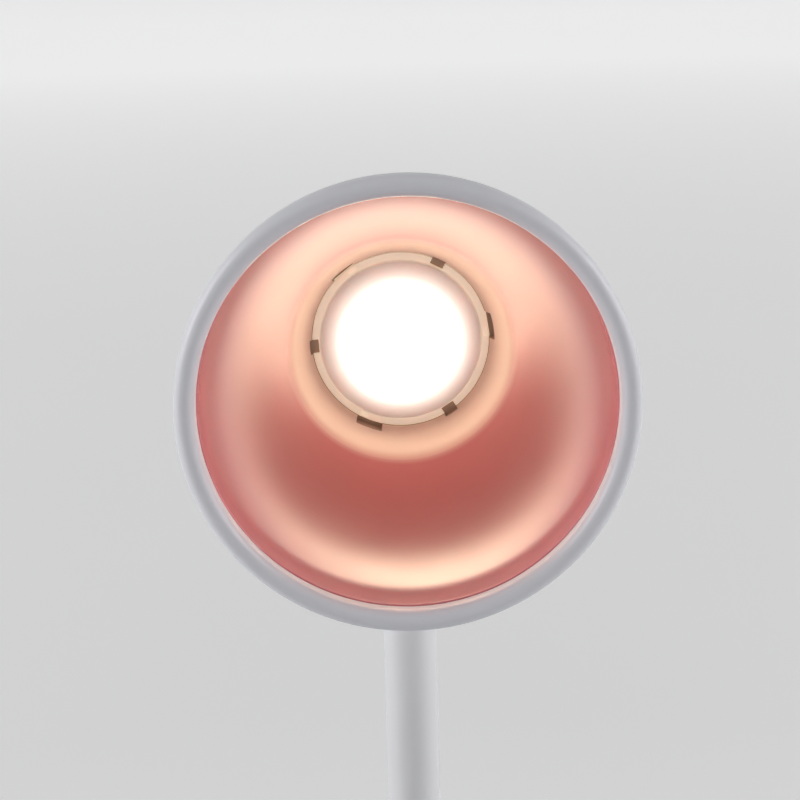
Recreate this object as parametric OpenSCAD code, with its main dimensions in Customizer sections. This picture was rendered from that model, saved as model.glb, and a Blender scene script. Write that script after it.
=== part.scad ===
// Bedside lamp: a round tilting head on a straight tube stem, standing on a weighted round base.
// Sizes are millimetres. +Z is up, the origin is the middle of the foot, and the head faces -Y.

/* [Overall] */
// Height of the head's axis above the table
head_axis_h = 330; // [310:1:360]
// Distance from the stem's axis forward to the front of the head
head_reach = 64; // [62:1:66]

/* [Head shell and front ring] */
// Outside diameter of the front ring
head_d = 110; // [107:1:113]
// How far in front of the mouth the shell's oval would be widest
oval_lead = 25; // [20:1:28]
// Wall of the head shell
shell_wall = 2; // [1.8:0.1:2.2]
// Step by which the front ring stands proud of the shell
ring_step = 0.8; // [0.5:0.1:1.1]
// Depth of the front ring's band
ring_depth = 5.2; // [4.8:0.1:6]
// Thickness of the ring's skirt inside the shell
skirt_t = 0.9; // [0.8:0.1:1.1]
// Length of the ring's skirt inside the shell
skirt_len = 5.3; // [5:0.1:7]
// Wall left in the shell round the skirt
front_wall = 2.1; // [1.9:0.1:2.3]
// Height of the snap bead on the skirt
bead_h = 0.3; // [0.2:0.05:0.4]

/* [Reflector] */
// Wall of the reflector
bowl_wall = 1.2; // [1:0.1:1.3]
// Gap between the bowl's mouth and the ring's skirt
mouth_gap = 0.4; // [0.3:0.05:0.5]
// Depth at which the bowl's straight wall ends
bowl_straight = 14; // [12:0.5:15]
// Length of the quick bend behind the straight wall
bowl_turn = 5.5; // [4.5:0.5:7]
// Lean of the bowl's wall at the end of the quick bend, in degrees
bowl_lean = 9.4; // [8:0.2:10.4]
// Depth of the collar's edge behind the mouth
collar_depth = 64.6; // [63:0.2:66]
// Radius of the collar's edge
collar_edge_r = 28.4; // [27.6:0.1:29.4]
// Wall of the neck behind the collar
neck_wall = 1.6; // [1.4:0.1:1.8]
// Radius of the screw bosses on the neck
boss_r = 2.4; // [2.2:0.1:2.6]
// Length of the screw bosses
boss_len = 8.5; // [7.5:0.5:10]

/* [Diffuser] */
// Depth of the diffuser's flange behind the mouth
lens_depth = 77.1; // [76.5:0.1:77.7]
// Radius of the diffuser's flange
lens_r = 23.4; // [23:0.1:23.8]
// Width of the flat flange round the dome
flange_w = 2.3; // [2.1:0.1:2.6]
// Rise of the dome
dome_rise = 5; // [3.5:0.5:6.5]
// Step from the flange up to the dome's foot
dome_step = 1; // [0.6:0.1:1.4]
// Wall of the diffuser
lens_wall = 1.2; // [1:0.1:1.4]
// Angle of the first snap hook, seen from the front
hook_angle = 122; // [117:1:127]
// Angle of the first keyed notch, seen from the front
notch_angle = 63; // [58:1:68]
// Width of a snap hook
hook_w = 6.4; // [5.6:0.2:7]
// Width of a keyed notch
notch_w = 2.9; // [2.4:0.1:3.4]
// Depth of a keyed notch in from the flange's edge
notch_in = 1.8; // [1.4:0.1:2]
// Width of the gap shown outside a snap hook
hook_gap = 0.8; // [0.6:0.1:0.9]

/* [Light engine] */
// Side of the square light chip
chip_w = 13.5; // [11:0.5:15]
// Radius of the chip's yellow field
chip_field_r = 5; // [4:0.5:5.5]
// Thickness of the chip's carrier
chip_t = 0.8; // [0.6:0.1:1]
// Height of the yellow field over the carrier
chip_field_t = 0.4; // [0.2:0.1:0.5]
// Thickness of the light board
led_board_t = 1.6; // [1.4:0.1:1.8]
// Thickness of the thermal pad
pad_t = 0.4; // [0.3:0.1:0.6]
// Thickness of the heat sink's plate
sink_plate_t = 2.4; // [2.2:0.1:2.8]
// Height of the heat sink's fins
fin_h = 12; // [8:0.5:13]
// Room round the heat sink inside the shell
sink_room = 1.8; // [1.6:0.1:2.6]
// Thickness of a fin
fin_t = 1.4; // [1:0.1:1.8]
// Spacing of the fins
fin_pitch = 6; // [5:0.5:7]
// Distance of the light board's screws from the middle
led_screw_at = 17.5; // [16:0.5:19]

/* [Tilt hinge] */
// Depth of the hinge axis below the shell
hinge_hang = 13.3; // [12.3:0.1:15.3]
// Radius of the hinge lugs
hinge_r = 11; // [10.6:0.1:11.4]
// Radius of the tongue between the lugs
tongue_r = 9; // [8.8:0.1:9.2]
// Thickness of the tongue
tongue_t = 7; // [6.4:0.2:7.6]
// Thickness of a friction washer
friction_t = 0.5; // [0.4:0.1:0.7]
// Width of the hinge block
hinge_w = 20; // [19.6:0.2:21]
// Diameter of the pivot screw
pivot_d = 4; // [3.6:0.2:4.2]
// Greatest tilt forward, in degrees
tilt_down = 60; // [50:1:62]
// Greatest tilt backward, in degrees
tilt_up = 40; // [35:1:42]
// Radius of the screw head, the nut and their counterbores' caps
cap_r = 4.2; // [4.1:0.1:4.6]
// Thickness of a hinge cap
cap_t = 1.2; // [1:0.1:1.3]
// Thickness of the pivot screw's head
pivot_head_t = 2.2; // [2:0.1:2.3]
// Thickness of the pivot nut
nut_t = 3.2; // [2.8:0.1:3.2]
// Thickness of the spring washer, pressed
spring_t = 0.8; // [0.6:0.1:0.9]

/* [Neck and swivel] */
// Depth of the swivel joint below the hinge axis
swivel_drop = 18; // [17.5:0.5:19]
// Wall of the swivel bush round the spindle
bush_wall = 1.4; // [1.3:0.1:1.6]
// Length of the spindle below the joint
spindle_len = 22; // [20:1:26]
// Radius of the lead's bore in the spindle
spindle_bore_r = 2; // [1.8:0.1:2.2]
// Length of the swivel bush
bush_len = 18; // [16:0.5:18.5]
// Wall left in the bush round its stop recess
stop_wall = 0.5; // [0.45:0.05:0.55]
// Depth of the stop recess
stop_deep = 1.5; // [1.2:0.1:1.8]
// Half width of the spindle's stop nib
nib_half = 0.85; // [0.7:0.05:0.9]
// Half width of the bush's stop key
key_half = 1.45; // [1.3:0.05:1.5]
// Thickness of the retaining clip
clip_t = 0.9; // [0.8:0.1:1.1]
// Section radius of the friction ring
friction_ring_r = 0.6; // [0.5:0.05:0.65]

/* [Stem] */
// Outside diameter of the stem tube
stem_d = 14; // [13.8:0.1:14.4]
// Wall of the stem tube
stem_wall = 1; // [0.9:0.05:1.05]
// Length of the threaded insert inside the tube
insert_len = 16; // [12:1:24]
// Radius of the insert's threaded stub
stub_r = 5; // [4.6:0.1:5.2]
// Radius of the lead's bore in the stub
stub_bore_r = 2.5; // [2.2:0.1:2.8]
// Thickness of the stem washer
washer_t = 1; // [0.8:0.1:1.2]
// Radius of the stem washer
washer_r = 10.5; // [9.5:0.5:11.5]
// Thickness of the stem nut
stem_nut_t = 4.5; // [4:0.1:4.8]
// Distance across the flats of the stem nut
stem_nut_af = 16; // [15:0.5:17]

/* [Base] */
// Diameter of the base
base_d = 140; // [138:1:150]
// Room between the battery cell and the base cover
cell_room = 0.8; // [0.6:0.1:2.4]
// Radius of the base's upper edge
base_round = 8; // [5:0.5:10]
// Wall of the base cover
cover_wall = 2.5; // [2.2:0.1:2.8]
// Thickness of the base plate
plate_t = 2.5; // [2.2:0.1:2.8]
// Height of the rubber foot ring
foot_h = 2; // [1.8:0.1:2.4]
// Depth of the foot ring's groove
foot_sunk = 1; // [0.8:0.1:1.2]
// Width of the foot ring
foot_w = 4.5; // [3.5:0.5:6]
// Distance of the foot ring from the plate's edge
foot_inset = 1.8; // [1.4:0.1:2.4]
// Thickness of the ballast weight
ballast_t = 6.5; // [6:0.1:6.8]
// Gap between the ballast weight and the base screws' bosses
ballast_gap = 1.5; // [1:0.5:4]
// Height of the posts that space the ballast from the cover
ballast_post_h = 4; // [3.8:0.1:4.4]
// Depth to which the stem is let into the ballast
stem_sunk = 4; // [3:0.2:4.4]
// Distance of the ballast screws from the middle
ballast_screw_at = 30; // [29:0.5:32]
// Land between a base screw's recess and the foot ring's groove
screw_land = 1.8; // [1.2:0.1:2.3]
// Length of a base screw under its head
base_screw_len = 9; // [8:0.5:10]
// Radius of the base screws' bosses
base_boss_r = 3.5; // [3:0.1:3.8]

/* [Power] */
// Diameter of the battery cell
cell_d = 18.4; // [18:0.1:18.6]
// Length of the battery cell
cell_len = 65; // [60:0.5:66]
// Gap between the battery tray and the charge board
cell_gap = 5.6; // [4.6:0.1:6.6]
// Floor of the battery tray
tray_floor = 0.8; // [0.6:0.1:1]
// Wall of the battery tray
tray_wall = 1.4; // [1:0.1:1.6]
// Height of the tray's walls
tray_h = 9; // [7:0.5:11]
// Thickness of the battery contacts
contact_t = 0.4; // [0.3:0.1:0.6]
// Width of the battery contacts
contact_w = 9; // [7:0.5:11]
// Height of the battery contacts
contact_h = 10; // [8:0.5:11]
// Width of the charge board
charge_w = 22; // [20:1:28]
// Length of the charge board
charge_len = 17; // [15:0.5:18]
// Thickness of both boards in the base
board_t = 1.6; // [1.2:0.2:2]
// Height of the posts under the charge board
charge_post_h = 3.2; // [2.8:0.1:4]
// Width of the charging socket
usb_w = 8.94; // [8.9:0.02:9]
// Height of the charging socket
usb_h = 3.26; // [3.2:0.02:3.3]
// Length of the charging socket
usb_len = 7.35; // [7:0.05:7.6]

/* [Power button] */
// Distance of the button from the base's edge
button_inset = 28; // [26:0.5:29]
// Radius of the button
button_r = 8; // [7:0.2:8.6]
// Height of the button over the base
button_proud = 1.2; // [0.8:0.1:1.6]
// Travel of the button
button_travel = 0.6; // [0.4:0.1:0.7]
// Thickness of the button's flange
button_flange_t = 1.2; // [1:0.1:1.4]
// Width of the control board
control_w = 24; // [22:1:26]
// Length of the control board
control_len = 25; // [24:1:27]
// Distance of the control board's middle behind the button
control_back = 3; // [2:0.5:3.5]
// Gap between the button's stem and the tact switch
tact_gap = 1.1; // [0.9:0.1:1.4]
// Side of the tact switch
tact_w = 6; // [5:0.5:7]
// Height of the tact switch
tact_h = 3.5; // [3:0.1:3.6]
// Radius of the switch plunger
plunger_r = 1.7; // [1.4:0.1:1.9]
// Gap between the button's flange and the indicator light
light_gap = 2.1; // [1.6:0.1:2.6]
// Radius of the indicator light
light_r = 1.2; // [0.9:0.1:1.5]
// Side of a chip on the boards
chip_side = 5; // [4:0.5:6]
// Height of a chip on the boards
chip_h = 1.2; // [0.8:0.1:1.4]
// Side of a coil on the boards
coil_side = 4; // [3:0.5:5]
// Height of a coil on the boards
coil_h = 2; // [1.6:0.1:2.4]

/* [Fits] */
// Radial clearance of a shaft that turns in its bore
run_fit = 0.05; // [0.03:0.01:0.08]
// Clearance between pieces that are assembled and stay put
seat_fit = 0.1; // [0.05:0.01:0.12]
// Clearance between faces that pass each other
pass_fit = 0.4; // [0.3:0.05:0.45]
// Radius of the leads
lead_r = 0.9; // [0.7:0.05:1]

/* [Hidden] */
$fn = 96;
outline_steps = 36;
arc_steps = 12;
cut = 1;

// Head, worked out from the mouth backward; depth is counted from the front of the ring
ring_r = head_d / 2;
shell_front_r = ring_r - ring_step;
skirt_out_r = shell_front_r - front_wall - seat_fit;
skirt_in_r = skirt_out_r - skirt_t;
bowl_mouth_r = skirt_in_r - mouth_gap - bowl_wall;
rim_in_r = bowl_mouth_r + 0.3;
rim_round_r = (ring_r - rim_in_r) / 2;
skirt_end = ring_depth + skirt_len;
bead_at = skirt_end - 1.4;

dome_r = lens_r - flange_w;
pocket_r = lens_r + seat_fit;
pocket_front = lens_depth - 0.2;
ledge_at = lens_depth + lens_wall + seat_fit;
ledge_t = 1.4;
ledge_r = dome_r - 0.8;
barb_at = ledge_at + ledge_t + seat_fit;
barb_len = 1.8;
hook_end = barb_at + barb_len;
hook_t = 1.1;
hook_out_r = lens_r - 0.2;
hook_gap_in = 1;
led_board_at = hook_end + 0.9;
pad_at = led_board_at + led_board_t;
plate_at = pad_at + pad_t;
neck_in_r = lens_r + 1.4;
neck_out_r = neck_in_r + neck_wall;
led_board_r = neck_in_r - 0.5;
boss_pitch_r = neck_in_r + boss_r + 0.1;
sink_r = boss_pitch_r + 1.8;
fins_at = plate_at + sink_plate_t;
fin_envelope_r = sink_r - 6.1;
fin_taper = 5;
rear_post_r = 2.2;
rear_post_pitch_r = fin_envelope_r + rear_post_r + 1;
sink_screw_r = 0.95;
sink_head_r = 1.8;
sink_head_t = 1.3;
lead_notch_w = 4;

// The shell's oval goes through the ring's seat and keeps its room round the heat sink's rim
seat_x = ring_depth + oval_lead;
rim_x = fins_at + oval_lead;
rim_clear_r = sink_r + sink_room + shell_wall;
oval_a = sqrt((pow(rim_x * shell_front_r, 2) - pow(seat_x * rim_clear_r, 2))
    / (pow(shell_front_r, 2) - pow(rim_clear_r, 2)));
oval_b = shell_front_r / sqrt(1 - pow(seat_x / oval_a, 2));
cavity_a = oval_a - shell_wall;
cavity_b = oval_b - shell_wall;

// Hinge, hung under the shell and rounded to a tenth
hinge_drop = round(10 * (oval(head_reach, oval_a, oval_b) + hinge_hang)) / 10;
hinge_z = head_axis_h - hinge_drop;
flare_y = 16;
flare_h = 24;
slot_r = tongue_r + pass_fit;
slot_half = tongue_t / 2 + friction_t + run_fit;
pivot_r = pivot_d / 2;
lug_face = hinge_w / 2;
cap_floor = lug_face - cap_t;
head_at_x = cap_floor - seat_fit - pivot_head_t;
spring_at_x = head_at_x - spring_t;
nut_floor_x = cap_floor - seat_fit - nut_t;
nut_r = cap_r - 0.15;
shank_front = slot_r * cos(tilt_down) - 0.2;
shank_rear = slot_r * cos(tilt_up) - 0.2;
channel_r = lead_r + 0.6;
channel_y = pivot_r + run_fit + channel_r + 1;
grommet_z = head_axis_h - oval(head_reach, oval_a, oval_b) - 2.3;
grommet_len = 7;

// Neck, swivel and stem
stem_r = stem_d / 2;
stem_in_r = stem_r - stem_wall;
bush_r = stem_in_r - seat_fit / 2;
spindle_r = bush_r - bush_wall - run_fit;
stop_r = bush_r - stop_wall;
clip_r = stem_in_r - pass_fit;
collar_top_z = hinge_z - hinge_r - pass_fit;
tube_top_z = hinge_z - swivel_drop;
collar_bottom_z = tube_top_z + seat_fit;
bush_bottom_z = tube_top_z - bush_len;
spindle_bottom_z = tube_top_z - spindle_len;
groove_r = spindle_r - 0.5;
clip_top_z = bush_bottom_z - seat_fit;
ring_groove_z = tube_top_z - bush_len / 2;
ring_groove_r = spindle_r - 2 * friction_ring_r + 0.02;
neck_lead_z = spindle_bottom_z + 0.5;

// Base
base_r = base_d / 2;
plate_z = foot_h - foot_sunk;
plate_top_z = plate_z + plate_t;
cover_in_r = base_r - cover_wall;
plate_r = cover_in_r - 0.3;
m2_r = 0.95;
m2_head_r = 1.9;
m2_head_t = 1.3;
m3_r = 1.45;
m3_head_r = 2.8;
m3_head_t = 1.8;
base_head_t = 1.1;
thread_fit = 0.02;
screw_recess = 1.2;

cell_r = cell_d / 2;
cell_z = plate_top_z + tray_floor + cell_r;
base_h = cell_z + cell_r + cell_room + cover_wall;
cover_under_z = base_h - cover_wall;
charge_y = cover_in_r - charge_len / 2 - 1.2;
charge_front_y = charge_y - charge_len / 2;
tray_half_w = cell_r + seat_fit + tray_wall;
tray_half_l = cell_len / 2 + contact_t + seat_fit + tray_wall;
cell_y = charge_front_y - cell_gap - tray_half_w;
tab_out = 1;

foot_out_r = plate_r - foot_inset;
foot_in_r = foot_out_r - foot_w;
base_screw_at = foot_in_r - screw_land - m3_head_r - 0.3;
ballast_r = base_screw_at - base_boss_r - ballast_gap;
ballast_top_z = cover_under_z - ballast_post_h;
ballast_z = ballast_top_z - ballast_t;
ballast_post_r = 4;
stem_seat_z = ballast_top_z - stem_sunk;
stem_nut_z = ballast_z - washer_t - stem_nut_t;
stub_end_z = stem_nut_z - 0.5;

charge_z = plate_top_z + charge_post_h;
charge_top_z = charge_z + board_t;
usb_z = charge_top_z + usb_h / 2;
usb_front_y = base_r - 0.7;
usb_wall = 0.3;
board_post_r = 2.3;
charge_screw_x = charge_w / 2 - 2.6;
charge_screw_y = charge_front_y + 2.6;

button_y = base_r - button_inset;
button_lip = 1.2;
button_nose = 0.5;
button_stem_r = 2.5;
light_y = button_y - button_r - button_lip - light_gap - light_r;
flange_top_z = cover_under_z - seat_fit;
plunger_top_z = flange_top_z - button_flange_t - button_nose;
tact_top_z = plunger_top_z - tact_gap;
plunger_in = 0.9;
plunger_z = tact_top_z - plunger_in;
control_y = button_y - control_back;
control_top_z = tact_top_z - tact_h;
control_z = control_top_z - board_t;
control_post_h = cover_under_z - control_top_z;
control_screw_x = control_w / 2 - 2.4;
control_screw_y = control_y + control_len / 2 - 2.4;

// Routes of the held leads, chosen by hand; each corner is rounded by the function below
pad_y = control_y - control_len / 2 + 1;
charge_pad_y = charge_front_y + 2.7;
floor_z = plate_top_z + 1.9;
head_lead_route = [
    [0, channel_y, hinge_z + 9], [0, channel_y, hinge_z + 21], [0, 10, hinge_z + 26.5],
    [0, plate_at - head_reach - 3.2, hinge_z + 28.5],
    [0, plate_at - head_reach - 3.2, head_axis_h - led_board_r + 1.8],
    [0, led_board_at - head_reach, head_axis_h - led_board_r + 1.8]
];
neck_lead_route = [
    [0, 0, neck_lead_z], [0, 0, collar_bottom_z + 1], [0, channel_y, hinge_z - 7.5],
    [0, channel_y, hinge_z + 7.1]
];
stem_lead_route = [
    [0, -pad_y, control_z - 0.05], [0, -pad_y, floor_z], [0, 0, floor_z], [0, 0, neck_lead_z]
];
gap_y = charge_front_y - cell_gap / 2;
way_r = (base_screw_at + base_boss_r + cover_in_r) / 2;
link_lead_route = concat(
    [[9, -pad_y - 1.5, control_z - 0.05], [9, -pad_y - 1.5, floor_z], [18, -14, floor_z],
     [18, 12, floor_z], [tray_half_l + 16, cell_y - 15, floor_z]],
    [for (a = [25:10:45]) [way_r * cos(a), way_r * sin(a), floor_z]],
    [[14, gap_y, floor_z], [4, gap_y, floor_z], [4, charge_pad_y, floor_z],
     [4, charge_pad_y, charge_z - 0.05]]);
battery_lead_route = [
    [-tray_half_l - tab_out, cell_y, cell_z - 4], [-tray_half_l - 4, cell_y, cell_z - 4],
    [-tray_half_l - 4, gap_y, floor_z], [-4, gap_y, floor_z], [-4, charge_pad_y, floor_z],
    [-4, charge_pad_y, charge_z - 0.05]
];

// Half height of an oval of half axes a and b, u behind the mouth
function oval(u, a, b) = b * sqrt(max(0, 1 - pow((u + oval_lead) / a, 2)));

// Outline points of an oval from depth u0 to its rear tip
function oval_points(u0, a, b) = let (t0 = asin((u0 + oval_lead) / a))
    [for (i = [0:outline_steps]) let (t = t0 + (90 - t0) * i / outline_steps)
        [b * cos(t), a * sin(t) - oval_lead]];

// Points of a round arc about c from angle a0 to a1
function arc(c, r, a0, a1, n) = [for (i = [0:n]) let (a = a0 + (a1 - a0) * i / n)
    [c[0] + r * cos(a), c[1] + r * sin(a)]];

// The bowl's wall runs straight back from the mouth, bends quickly and then follows one parabola to the collar
bowl_bend = tan(bowl_lean) / bowl_turn;
bowl_drop = bowl_mouth_r - collar_edge_r - bowl_bend / 2 * pow(collar_depth - bowl_straight, 2);
bowl_change = 2 * bowl_drop / pow(collar_depth - bowl_straight - bowl_turn, 2);
function past(u, start) = max(0, u - start);
function bowl_at(u) = bowl_mouth_r - bowl_bend / 2 * pow(past(u, bowl_straight), 2)
    - bowl_change / 2 * pow(past(u, bowl_straight + bowl_turn), 2);
function bowl_fall(u) = bowl_bend * past(u, bowl_straight)
    + bowl_change * past(u, bowl_straight + bowl_turn);
bowl_depths = concat([ring_depth], [for (i = [0:outline_steps])
    bowl_straight + (collar_depth - bowl_straight) * i / outline_steps]);

// Rounds every corner of a route with a short curve that starts cut_back before it
function unit(v) = v / norm(v);
function rounded(p, cut_back) = [for (i = [0:len(p) - 1]) each
    (i == 0 || i == len(p) - 1) ? [p[i]] :
    let (
        a = p[i] - unit(p[i] - p[i - 1]) * min(cut_back, norm(p[i] - p[i - 1]) * 0.48),
        b = p[i] + unit(p[i + 1] - p[i]) * min(cut_back, norm(p[i + 1] - p[i]) * 0.48)
    ) [for (t = [0:0.25:1]) a * (1 - t) * (1 - t) + p[i] * 2 * t * (1 - t) + b * t * t]];

// Half depth of the hinge block at a share of its height above the axle
function flare_at(share) = hinge_r + (flare_y - hinge_r) * share * share;

// One unbroken round tube along a route
module lead(route, side, r = lead_r, sides = 8) {
    p = rounded(route, 4);
    n = len(p);
    way = [for (i = [0:n - 1]) unit(p[min(i + 1, n - 1)] - p[max(i - 1, 0)])];
    ring = [for (i = [0:n - 1]) let (u = unit(side - way[i] * (side * way[i])), v = cross(way[i], u))
        for (k = [0:sides - 1]) p[i] + r * (u * cos(360 * k / sides) + v * sin(360 * k / sides))];
    faces = concat(
        [[for (k = [0:sides - 1]) k]],
        [[for (k = [sides - 1:-1:0]) (n - 1) * sides + k]],
        [for (i = [0:n - 2]) for (k = [0:sides - 1])
            [i * sides + k, (i + 1) * sides + k, (i + 1) * sides + (k + 1) % sides,
             i * sides + (k + 1) % sides]]
    );
    polyhedron(ring, faces);
}

// Places children in the head's own frame: z is the depth behind the mouth, -y is up
module in_head() {
    translate([0, -head_reach, head_axis_h]) rotate([-90, 0, 0]) children();
}

// Repeats children three times round the head's axis; the angle is seen from the front
module three_round(first) {
    for (k = [0:2]) rotate([0, 0, -(first + 120 * k)]) children();
}

// Extrudes an outline given in (y, z) along x, with its middle at x = 0
module along_x(width) {
    translate([-width / 2, 0, 0]) rotate([90, 0, 90]) linear_extrude(width) children();
}

// A ring between two radii and two heights
module tube_ring(out_r, in_r, z0, z1) {
    translate([0, 0, z0]) difference() {
        cylinder(r = out_r, h = z1 - z0);
        translate([0, 0, -cut]) cylinder(r = in_r, h = z1 - z0 + 2 * cut);
    }
}

// A pan-head screw with its head under z = 0 and its shank upward
module screw(r, len, head_r, head_t) {
    translate([0, 0, -head_t]) cylinder(r = head_r, h = head_t);
    cylinder(r = r, h = len);
}

// A cross recess for a screw head whose face is at z = 0, opening downward
module cross_recess(size, deep) {
    translate([-size / 2, -size / 8, -cut]) cube([size, size / 4, deep + cut]);
    translate([-size / 8, -size / 2, -cut]) cube([size / 4, size, deep + cut]);
}

// A pan-head screw with its cross recess
module cross_screw(r, len, head_r, head_t) {
    difference() {
        screw(r, len, head_r, head_t);
        translate([0, 0, -head_t]) cross_recess(head_r * 1.1, head_t * 0.55);
    }
}

// Head
module shell_outer() {
    rotate_extrude() polygon(concat([[0, ring_depth]], oval_points(ring_depth, oval_a, oval_b)));
}

module shell_cavity() {
    rotate_extrude() polygon(concat(
        [[0, ring_depth - cut], [skirt_out_r + seat_fit, ring_depth - cut],
         [skirt_out_r + seat_fit, skirt_end + 0.3]],
        oval_points(skirt_end + 0.3, cavity_a, cavity_b)));
}

module head_shell() {
    groove_r0 = skirt_out_r + seat_fit;
    color("white") difference() {
        union() {
            difference() {
                union() {
                    in_head() shell_outer();
                    translate([0, 0, hinge_z]) along_x(hinge_w) union() {
                        circle(r = hinge_r);
                        polygon(concat(
                            [for (t = [0:0.125:1]) [flare_at(t), t * flare_h]],
                            [for (t = [1:-0.125:0]) [-flare_at(t), t * flare_h]]));
                    }
                }
                in_head() shell_cavity();
            }
            in_head() intersection() {
                shell_outer();
                three_round(30) translate([rear_post_pitch_r, 0, fins_at])
                    cylinder(r = rear_post_r, h = 20);
            }
        }
        in_head() rotate_extrude() polygon([
            [groove_r0 - cut, bead_at - 0.6], [groove_r0, bead_at - 0.6],
            [groove_r0 + bead_h, bead_at], [groove_r0, bead_at + 0.6], [groove_r0 - cut, bead_at + 0.6]]);
        translate([0, 0, hinge_z]) along_x(2 * slot_half) union() {
            circle(r = slot_r);
            translate([-20, -20]) square([40, 20]);
        }
        translate([-20, 0, hinge_z]) rotate([0, 90, 0]) cylinder(r = pivot_r + run_fit, h = 40);
        translate([spring_at_x, 0, hinge_z]) rotate([0, 90, 0]) cylinder(r = cap_r, h = 20);
        translate([-cap_floor, 0, hinge_z]) rotate([0, -90, 0]) cylinder(r = cap_r, h = 20);
        translate([-nut_floor_x, 0, hinge_z]) rotate([0, -90, 0]) cylinder(r = cap_r, h = 20, $fn = 6);
        translate([0, channel_y, hinge_z]) cylinder(r = channel_r + 0.8, h = 30);
    }
}

module front_ring() {
    color("white") in_head() rotate_extrude() polygon(concat(
        arc([ring_r - rim_round_r, rim_round_r], rim_round_r, 0, -180, 24),
        [[rim_in_r, ring_depth], [skirt_in_r, ring_depth], [skirt_in_r, skirt_end],
         [skirt_out_r - 0.3, skirt_end], [skirt_out_r, bead_at + 0.5], [skirt_out_r + bead_h, bead_at],
         [skirt_out_r, bead_at - 0.5], [skirt_out_r, ring_depth], [ring_r - 0.2, ring_depth]]));
}

module reflector() {
    color("lightcoral") in_head() difference() {
        union() {
            rotate_extrude() polygon(concat(
                [for (u = bowl_depths) [bowl_at(u), u]],
                [[pocket_r, pocket_front], [pocket_r, ledge_at], [ledge_r, ledge_at],
                 [ledge_r, ledge_at + ledge_t], [neck_in_r, ledge_at + ledge_t], [neck_in_r, plate_at],
                 [neck_out_r, plate_at], [neck_out_r, pocket_front - 3.7]],
                [for (i = [len(bowl_depths) - 1:-1:0]) let (u = bowl_depths[i])
                    [bowl_at(u) + bowl_wall * sqrt(1 + pow(bowl_fall(u), 2)), u]]));
            three_round(90) translate([boss_pitch_r, 0, plate_at - boss_len])
                cylinder(r = boss_r, h = boss_len);
        }
        three_round(hook_angle) union() {
            translate([lens_r - hook_gap_in, -hook_w / 2 - 0.4, pocket_front - 1])
                cube([hook_gap_in + seat_fit + hook_gap, hook_w + 0.8, ledge_at - pocket_front + 1]);
            translate([hook_out_r - hook_t - 0.4, -hook_w / 2 - 0.4, ledge_at - cut])
                cube([hook_t + 0.7, hook_w + 0.8, ledge_t + 2 * cut]);
        }
        three_round(notch_angle) translate([lens_r - notch_in, -notch_w / 2, pocket_front - 1.4])
            cube([notch_in + 0.8, notch_w, ledge_at - pocket_front + 1.4]);
        three_round(90) translate([boss_pitch_r, 0, plate_at - boss_len + 1.5])
            cylinder(r = sink_screw_r + 0.05, h = boss_len);
        translate([-lead_notch_w / 2, neck_in_r - 1, ledge_at + ledge_t])
            cube([lead_notch_w, neck_wall + 3, plate_at - ledge_at]);
    }
}

module diffuser() {
    ball_r = (dome_r * dome_r + dome_rise * dome_rise) / (2 * dome_rise);
    apex = lens_depth - dome_step - dome_rise;
    centre = apex + ball_r;
    dome_in_r = dome_r - lens_wall;
    color("ivory") in_head() difference() {
        union() {
            rotate_extrude() polygon(concat(
                [for (i = [0:arc_steps]) let (r = dome_r * i / arc_steps)
                    [r, centre - sqrt(ball_r * ball_r - r * r)]],
                [[dome_r + 0.3, lens_depth], [lens_r, lens_depth], [lens_r, lens_depth + lens_wall],
                 [dome_in_r, lens_depth + lens_wall]],
                [for (i = [arc_steps:-1:0]) let (r = dome_in_r * i / arc_steps, b = ball_r - lens_wall)
                    [r, centre - sqrt(b * b - r * r)]]));
            three_round(hook_angle) {
                translate([hook_out_r - hook_t, -hook_w / 2, lens_depth + 0.2])
                    cube([hook_t, hook_w, hook_end - lens_depth - 0.2]);
                translate([0, hook_w / 2, 0]) rotate([90, 0, 0]) linear_extrude(hook_w) polygon([
                    [hook_out_r - 0.1, barb_at], [hook_out_r + 0.9, barb_at],
                    [hook_out_r + 0.9, barb_at + 0.5], [hook_out_r - 0.1, hook_end]]);
            }
        }
        three_round(notch_angle) translate([lens_r - notch_in, -notch_w / 2, lens_depth - 0.6])
            cube([notch_in + 1, notch_w, lens_wall + 1.2]);
    }
}

module led_chip() {
    color("khaki") in_head() union() {
        translate([-chip_w / 2, -chip_w / 2, led_board_at - chip_t]) cube([chip_w, chip_w, chip_t]);
        translate([0, 0, led_board_at - chip_t - chip_field_t]) cylinder(r = chip_field_r, h = chip_t);
    }
}

module led_board() {
    color("whitesmoke") in_head() difference() {
        translate([0, 0, led_board_at]) cylinder(r = led_board_r, h = led_board_t);
        for (x = [-1, 1]) translate([x * led_screw_at, 0, led_board_at - cut])
            cylinder(r = m2_r + 0.1, h = led_board_t + 2 * cut);
    }
}

module thermal_pad() {
    color("lightblue") in_head() difference() {
        translate([0, 0, pad_at]) cylinder(r = led_board_r - 1, h = pad_t);
        for (x = [-1, 1]) translate([x * led_screw_at, 0, pad_at - cut])
            cylinder(r = m2_r + 0.2, h = pad_t + 2 * cut);
    }
}

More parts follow.
